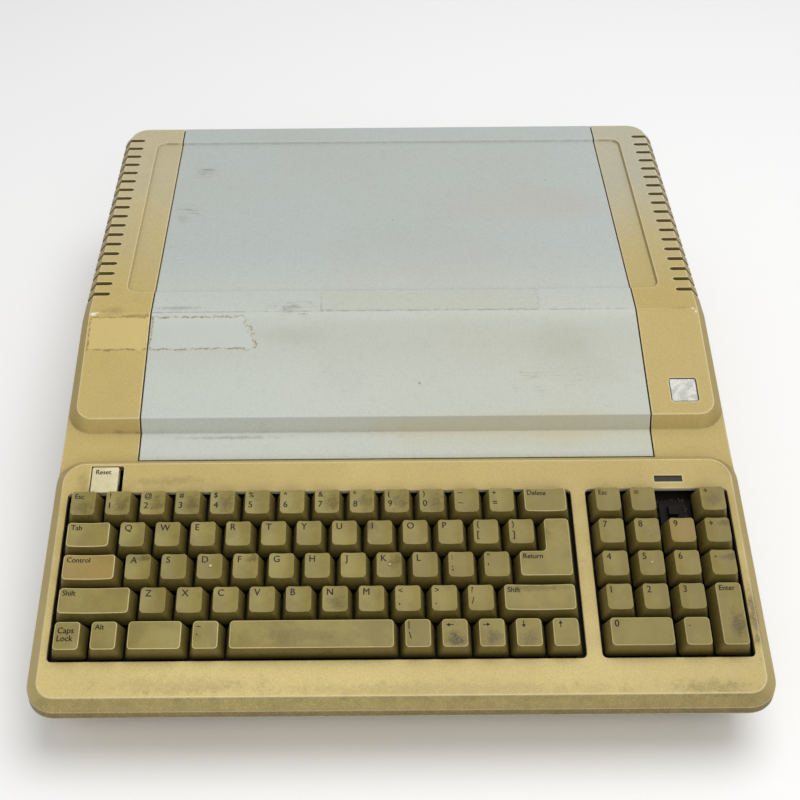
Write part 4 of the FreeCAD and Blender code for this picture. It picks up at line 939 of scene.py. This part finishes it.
def metalMaterial(name, colour, other, roughness, turn):
    # rolled sheet: long fine brush lines, cloudy tarnish and a few stains
    material, tree, shader = newMaterial(name, roughness, 0.85)
    drawn = addNode(tree, "Mapping", {"Vector": objectPlace(tree), "Scale": turn})[0]
    lines = noise(drawn, 1.0, 4.0, 0.6)
    spots = useMottle(tree, 30.0, 900.0, 0.6)
    base = mixColour(ramp(lines, 0.35, 0.65), srgb(*colour), srgb(*other))
    base = mixColour(ramp(spots["Cloud"], 0.5, 0.75) * metalWear["tarnish"], base, srgb(*oldGrime))
    base = mixColour(spots["Specks"] * metalWear["stains"], base, srgb(*oldGrime))
    setSocket(shader.inputs["Roughness"], roughness + spots["Cloud"] * metalWear["duller"])
    finishSurface(shader, base, lines, 0.12, 0.0001)
    return material


def paintedMaterial(name, colour, other, grime, wornAndHighlight, roughness, scale, grain):
    # moulded or painted face: fine pebbled grain, soft clouds, grime with painted shade in the corners, and
    # edges lightened by wear and painted highlight
    material, tree, shader = newMaterial(name, roughness)
    spots = useMottle(tree, scale, 1100.0, 0.7)
    base = mixColour(ramp(spots["Cloud"], 0.35, 0.65), srgb(*colour), srgb(*other))
    # painted shade from ambient occlusion, mixed with grime, in the corners
    depth = useGroup(tree, hollow, Distance=0.004, Low=0.5)
    base = mixColour(depth["Dirt"] * paintWear["corners"], base, srgb(*grime))
    base = mixColour(spots["Specks"] * paintWear["specks"], base, srgb(*grime))
    # a light line on the edges: wear and painted highlight
    rim = useGroup(tree, edge, Radius=0.0006)
    base = mixColour(rim["Worn"] * paintWear["edges"], base, srgb(*wornAndHighlight))
    finishSurface(shader, base, spots["Grain"], grain, Normal=rim["Normal"])
    return material


# in pitches: half a track, a run and a pad's radius squared; the rest is the share that is left out
trackLook = {"half": 0.13, "run": 7.0, "noAlong": 0.6, "noAcross": 0.62, "pad": 0.11, "noPad": 0.86}


def buildTracks():
    # copper tracks and round pads on a board, on a grid of the pitch given, in millimetres
    look = trackLook
    tree, start, end = newGroup("tracks", {"X": 0.0, "Y": 0.0, "Pitch": 2.54}, ["Tracks", "Pads"])
    cell = [start[axis] / start["Pitch"] for axis in "XY"]
    whole = [mathNode("FLOOR", value) for value in cell]
    inner = [abs(value - flat - 0.5) for value, flat in zip(cell, whole)]
    longCell = [mathNode("FLOOR", value / look["run"]) for value in cell]
    along = (inner[0] < look["half"]) * (luckyNumber(whole[0], longCell[1]) > look["noAlong"])
    across = (inner[1] < look["half"]) * (luckyNumber(longCell[0], whole[1] + 40.0) > look["noAcross"])
    away = inner[0] * inner[0] + inner[1] * inner[1]
    pads = (away < look["pad"]) * (luckyNumber(*whole) > look["noPad"])
    putOut(end, Tracks=mathNode("MAXIMUM", along, across), Pads=pads)
    return tree


trackGroup = buildTracks()


boardLook = {"green": srgb(22, 74, 42), "other": srgb(18, 58, 34), "track": srgb(58, 122, 66),
             "pad": srgb(186, 182, 160), "dust": srgb(120, 112, 92), "trackAmount": 0.6, "dustAmount": 0.3}


def boardMaterial():
    material, tree, shader = newMaterial("boardGreen", 0.34)
    place = useGroup(tree, partPlace)
    spots = useMottle(tree, 24.0, 900.0)
    found = useGroup(tree, trackGroup, X=place["X"], Y=place["Y"])
    base = mixColour(ramp(spots["Cloud"], 0.35, 0.65), boardLook["green"], boardLook["other"])
    base = mixColour(found["Tracks"] * boardLook["trackAmount"], base, boardLook["track"])
    base = mixColour(found["Pads"], base, boardLook["pad"])
    base = mixColour(spots["Specks"] * boardLook["dustAmount"], base, boardLook["dust"])
    finishSurface(shader, base, mathNode("MAXIMUM", found["Tracks"], found["Pads"]), 0.25, 0.0001)
    return material


badgeLook = {"silver": srgb(205, 205, 198), "other": srgb(176, 176, 168), "speck": srgb(92, 90, 84),
             "line": srgb(42, 38, 28)}


def badgeMaterial():
    # speckled silver with a dark line all round, painted shade standing for a recess round the plate
    material, tree, shader = newMaterial("badgeSilver", 0.4, 0.3)
    low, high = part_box("badge_plate")
    box = (low.x / mm, high.x / mm, low.y / mm, high.y / mm)
    place = useGroup(tree, partPlace)
    spots = useMottle(tree, 260.0, 1500.0, 0.8)
    line = useFrameLine(tree, place, box, Width=0.8, Wander=0.5)["Line"]
    base = mixColour(ramp(spots["Cloud"], 0.4, 0.6), badgeLook["silver"], badgeLook["other"])
    base = mixColour(spots["Specks"] * 0.55, base, badgeLook["speck"])
    base = mixColour(line, base, badgeLook["line"])
    finishSurface(shader, base, spots["Grain"], 0.2, 0.0001)
    return material


# main and other colour, grime, colour of the edges' wear and painted highlight, roughness, size of the clouds,
# depth of the grain, parts
paintedLook = {
    "panelPaint": ((172, 165, 142), (160, 153, 130), oldGrime, (214, 208, 190), 0.5, 26.0, 0.2, "rear_panel"),
    "coverPlastic": ((186, 174, 136), (172, 160, 122), oldGrime, (214, 204, 168), 0.5, 60.0, 0.35,
                     "port_covers"),
    "footRubber": ((30, 29, 27), (44, 41, 38), (92, 84, 68), (84, 80, 74), 0.85, 120.0, 0.5, "rubber_feet"),
    "inletBlack": ((22, 21, 20), (32, 30, 28), (70, 64, 52), (72, 70, 66), 0.48, 200.0, 0.3,
                   "power_inlet power_switch"),
    "chipBlack": ((26, 26, 27), (38, 37, 36), (88, 82, 68), (84, 82, 78), 0.6, 150.0, 0.4, "board_chips"),
    "slotPlastic": ((30, 62, 54), (26, 50, 44), (92, 88, 70), (90, 120, 110), 0.5, 90.0, 0.3,
                    "expansion_slots"),
    "speakerPaint": ((40, 38, 36), (30, 28, 26), (86, 80, 66), (70, 68, 64), 0.7, 120.0, 0.6, "speaker"),
}
# main and other colour, roughness, how the brush lines are drawn out, part
metalLook = {
    "baseSteel": ((122, 118, 104), (104, 100, 88), 0.42, (900.0, 20.0, 900.0), "base_plate"),
    "supplyMetal": ((188, 188, 184), (168, 168, 164), 0.34, (20.0, 900.0, 900.0), "power_supply"),
    "connectorMetal": ((176, 172, 160), (150, 147, 136), 0.28, (300.0, 300.0, 300.0), "rear_connectors"),
}
# main and other colour, roughness, part
plainLook = {
    "switchPlastic": ((8, 7, 5), (20, 16, 10), 0.85, "key_switches"),
    "platePaint": ((16, 15, 12), (28, 24, 16), 0.6, "keyboard_plate"),
    "lampLens": ((30, 32, 21), (20, 22, 14), 0.5, "power_lamp"),
}
for name, (*look, parts) in paintedLook.items():
    paint(paintedMaterial(name, *look), *parts.split())
for name, (*look, part) in metalLook.items():
    paint(metalMaterial(name, *look), part)
for name, (colour, other, roughness, part) in plainLook.items():
    paint(plainMaterial(name, srgb(*colour), srgb(*other), roughness), part)
paint(boardMaterial(), "main_board", "keyboard_board")
paint(badgeMaterial(), "badge_plate")

ribbonLook = {"pitch": 1.27, "grey": srgb(146, 146, 142), "other": srgb(128, 128, 124),
              "red": srgb(150, 52, 44), "groove": srgb(70, 68, 62)}


def ribbonMaterial():
    # grooves between the ribbon's wires get painted shade, one edge wire marked red
    look = ribbonLook
    material, tree, shader = newMaterial("ribbonPlastic", 0.45)
    x = useGroup(tree, partPlace)["X"]
    spots = useMottle(tree, 60.0, 900.0)
    crown = 1.0 - ramp(abs(mathNode("FRACT", x / look["pitch"]) - 0.5), 0.25, 0.5)
    base = mixColour(ramp(spots["Cloud"], 0.35, 0.65), look["grey"], look["other"])
    base = mixColour(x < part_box("keyboard_ribbon")[0].x / mm + look["pitch"], base, look["red"])
    base = mixColour((1.0 - crown) * 0.7, base, look["groove"])
    finishSurface(shader, base, crown, 0.5, 0.0003)
    return material


paint(ribbonMaterial(), "keyboard_ribbon")
print("inner and rear parts painted")

fuzz = {"x": 153.0, "along": 106.0, "off": -12.2, "reachX": 8.0, "reachAlong": 8.5, "count": 150,
        "length": 3.4, "radius": 0.14, "rise": (0.2, 3.2), "lean": (0.9, 1.8), "share": (0.5, 1.2), "seed": 4}


def makeFuzz():
    # loose lint in the well under the missing key
    f = fuzz
    luck = random.Random(f["seed"])
    bm = bmesh.new()
    for _ in range(f["count"]):
        place = Matrix.Translation((f["x"] + luck.uniform(-1, 1) * f["reachX"],
                                    f["along"] + luck.uniform(-0.2, 1) * f["reachAlong"],
                                    f["off"] + luck.uniform(*f["rise"])))
        turn = Matrix.Rotation(luck.uniform(0, math.pi), 4, "Z")
        lean = Matrix.Rotation(luck.uniform(*f["lean"]), 4, "X")
        bmesh.ops.create_cone(bm, cap_ends=True, segments=3, radius1=f["radius"], radius2=f["radius"] / 2,
                              depth=f["length"] * luck.uniform(*f["share"]), matrix=place @ (turn @ lean))
    bm.transform(onDeck)
    lint = plainMaterial("lint", srgb(156, 126, 90), srgb(96, 74, 50), 0.95)
    obj = newMesh("well_lint", bm, 0, lint)
    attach(obj, "case")


makeFuzz()

screwLook = {
    "radius": 3.4, "height": 1.6, "dome": 0.72, "recess": 0.3, "crossDepth": 0.7, "small": 0.78,
    "supplyY": 223.1,
    "frontRow": [-139.464, -50.362, 50.362, 139.464], "frontInset": 8.0,
    "sideRows": [-89.154, 29.718, 180.594], "sideInset": 6.4,
    "panel": [(-166.0, 82.0), (-40.0, 87.0), (70.0, 87.0), (166.0, 82.0), (-86.0, 10.0), (30.0, 10.0),
              (166.0, 10.0)],
    "supply": [(-162.6, 65.0), (-98.4, 65.0), (-162.6, 15.0), (-98.4, 15.0)],
}


def addScrew(bm, place):
    # a domed head with a sunk drive; place turns its axis outwards
    look = screwLook
    axis, centre = place.col[2].to_3d(), place.translation
    made = bmesh.ops.create_cone(bm, cap_ends=True, segments=20, radius1=look["radius"],
                                 radius2=look["radius"] * look["dome"], depth=look["height"],
                                 matrix=place @ Matrix.Translation((0, 0, look["height"] / 2)))
    top = [f for f in {f for v in made["verts"] for f in v.link_faces} if len(f.verts) > 4
           and f.calc_center_median().dot(axis) > centre.dot(axis) + 0.1]
    bmesh.ops.inset_region(bm, faces=top, thickness=look["radius"] * look["recess"], depth=0)
    bmesh.ops.inset_region(bm, faces=top, thickness=look["recess"], depth=-look["crossDepth"])


def makeScrews():
    # under the base, round the rear panel and on the supply's face
    look = screwLook
    low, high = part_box("base_plate")
    bm = bmesh.new()
    down = Matrix.Rotation(math.pi, 4, "X")
    side = (high.x - low.x) / mm / 2 - look["sideInset"]
    places = [(x, low.y / mm + look["frontInset"]) for x in look["frontRow"]]
    places += [(x, y) for y in look["sideRows"] for x in (-side, side)]
    for x, y in places:
        addScrew(bm, Matrix.Translation((x, y, low.z / mm)) @ down)
    back = Matrix.Rotation(-math.pi / 2, 4, "X") @ Matrix.Scale(look["small"], 4)
    for depth, found in ((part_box("rear_panel")[1].y / mm, look["panel"]), (look["supplyY"], look["supply"])):
        for x, z in found:
            addScrew(bm, Matrix.Translation((x, depth, z)) @ back)
    bm.transform(Matrix.Scale(mm, 4))
    steel = metalMaterial("screwSteel", (156, 153, 146), (120, 118, 112), 0.32, (600.0, 600.0, 600.0))
    obj = newMesh("case_screws", bm, 30, steel)
    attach(obj, "case")


makeScrews()

# a row is the place of its first chip from the board's corner, width, length, pitch and count
chipLook = {
    "rows": [(60, 92, 52, 15, 62, 3), (62, 62, 34, 15, 46, 4), (60, 118, 8, 20, 24, 8),
             (60, 144, 8, 20, 24, 8)],
    "legPitch": 2.54, "legWidth": 0.6, "legReach": 1.3, "legRise": 2.2,
}


def makeChipLegs():
    # rows of bent legs along the longer sides of each chip
    look = chipLook
    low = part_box("main_board")[0]
    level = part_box("board_chips")[0].z / mm
    bm = bmesh.new()
    for right, ahead, width, length, pitch, count in look["rows"]:
        longSide, shortSide = max(width, length), min(width, length)
        legs = int((longSide - 2) / look["legPitch"])
        first = (longSide - (legs - 1) * look["legPitch"] - look["legWidth"]) / 2
        for i, j, edge in itertools.product(range(count), range(legs), (-look["legReach"], shortSide)):
            start = first + j * look["legPitch"]
            leg = [(start, start + look["legWidth"]), (edge, edge + look["legReach"])]
            across, along = leg if width > length else leg[::-1]
            x, y = low.x / mm + right + i * pitch, low.y / mm + ahead
            place = (x + across[0], x + across[1], y + along[0], y + along[1])
            taperBox(bm, place, place, level, level + look["legRise"])
    bm.transform(Matrix.Scale(mm, 4))
    legMetal = plainMaterial("legMetal", srgb(196, 194, 186), srgb(160, 158, 150), 0.35, 0.9)
    obj = newMesh("chip_legs", bm, 0, legMetal)
    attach(obj, "case")


makeChipLegs()
print("lint, screws and chip legs made")

studio = {"floor": srgb(253, 253, 253), "floorSize": 6.0, "aim": (0, 0, 0.05), "world": 0.42,
          "keyPower": 17.0, "keySize": 1.5, "keyPlace": (0.35, 0.1, 1.75), "fillPower": 7.0, "fillSize": 1.4,
          "fillPlace": (0.2, -1.3, 1.3)}


def makeFloor():
    bm = bmesh.new()
    bmesh.ops.create_grid(bm, x_segments=1, y_segments=1, size=studio["floorSize"])
    paper = plainMaterial("floorPaper", studio["floor"], studio["floor"], 0.9, bump=0.0)
    floor = newMesh("floor", bm, 0, paper)


def addLight(name):
    # name is also the start of its values' names
    light = bpy.data.lights.new(name + "Light", "AREA")
    light.energy, light.size, light.shape = studio[name + "Power"], studio[name + "Size"], "DISK"
    obj = bpy.data.objects.new(name + "Light", light)
    bpy.context.collection.objects.link(obj)
    obj.location = studio[name + "Place"]
    obj.rotation_euler = (Vector(studio["aim"]) - obj.location).to_track_quat("-Z", "Y").to_euler()


def setWorld():
    world = bpy.data.worlds.new("studio")
    world.use_nodes = True
    background = world.node_tree.nodes["Background"]
    background.inputs["Color"].default_value = (1, 1, 1, 1)
    background.inputs["Strength"].default_value = studio["world"]
    bpy.context.scene.world = world


makeFloor()
setWorld()
addLight("key")
addLight("fill")

cameraLook = {"place": (-0.01497, -0.58407, 0.59726), "down": 43.477, "yaw": -0.143, "roll": -0.579,
              "focalPixels": 1258.9, "imagePixels": 800, "centre": (367.3, 398.7)}


def addCamera():
    c = cameraLook
    data = bpy.data.cameras.new("camera")
    data.sensor_width = 36.0
    data.lens = c["focalPixels"] / c["imagePixels"] * data.sensor_width
    data.shift_x = (c["imagePixels"] / 2 - c["centre"][0]) / c["imagePixels"]
    data.shift_y = (c["centre"][1] - c["imagePixels"] / 2) / c["imagePixels"]
    data.clip_end = 50.0
    camera = bpy.data.objects.new("camera", data)
    bpy.context.collection.objects.link(camera)
    yaw = Matrix.Rotation(math.radians(-c["yaw"]), 4, "Z")
    tilt = Matrix.Rotation(math.radians(90 - c["down"]), 4, "X")
    roll = Matrix.Rotation(math.radians(c["roll"]), 4, "Z")
    camera.matrix_world = Matrix.Translation(c["place"]) @ (yaw @ tilt) @ roll
    bpy.context.scene.camera = camera


addCamera()
bpy.context.scene.view_settings.view_transform = "Standard"
print("studio and camera set")
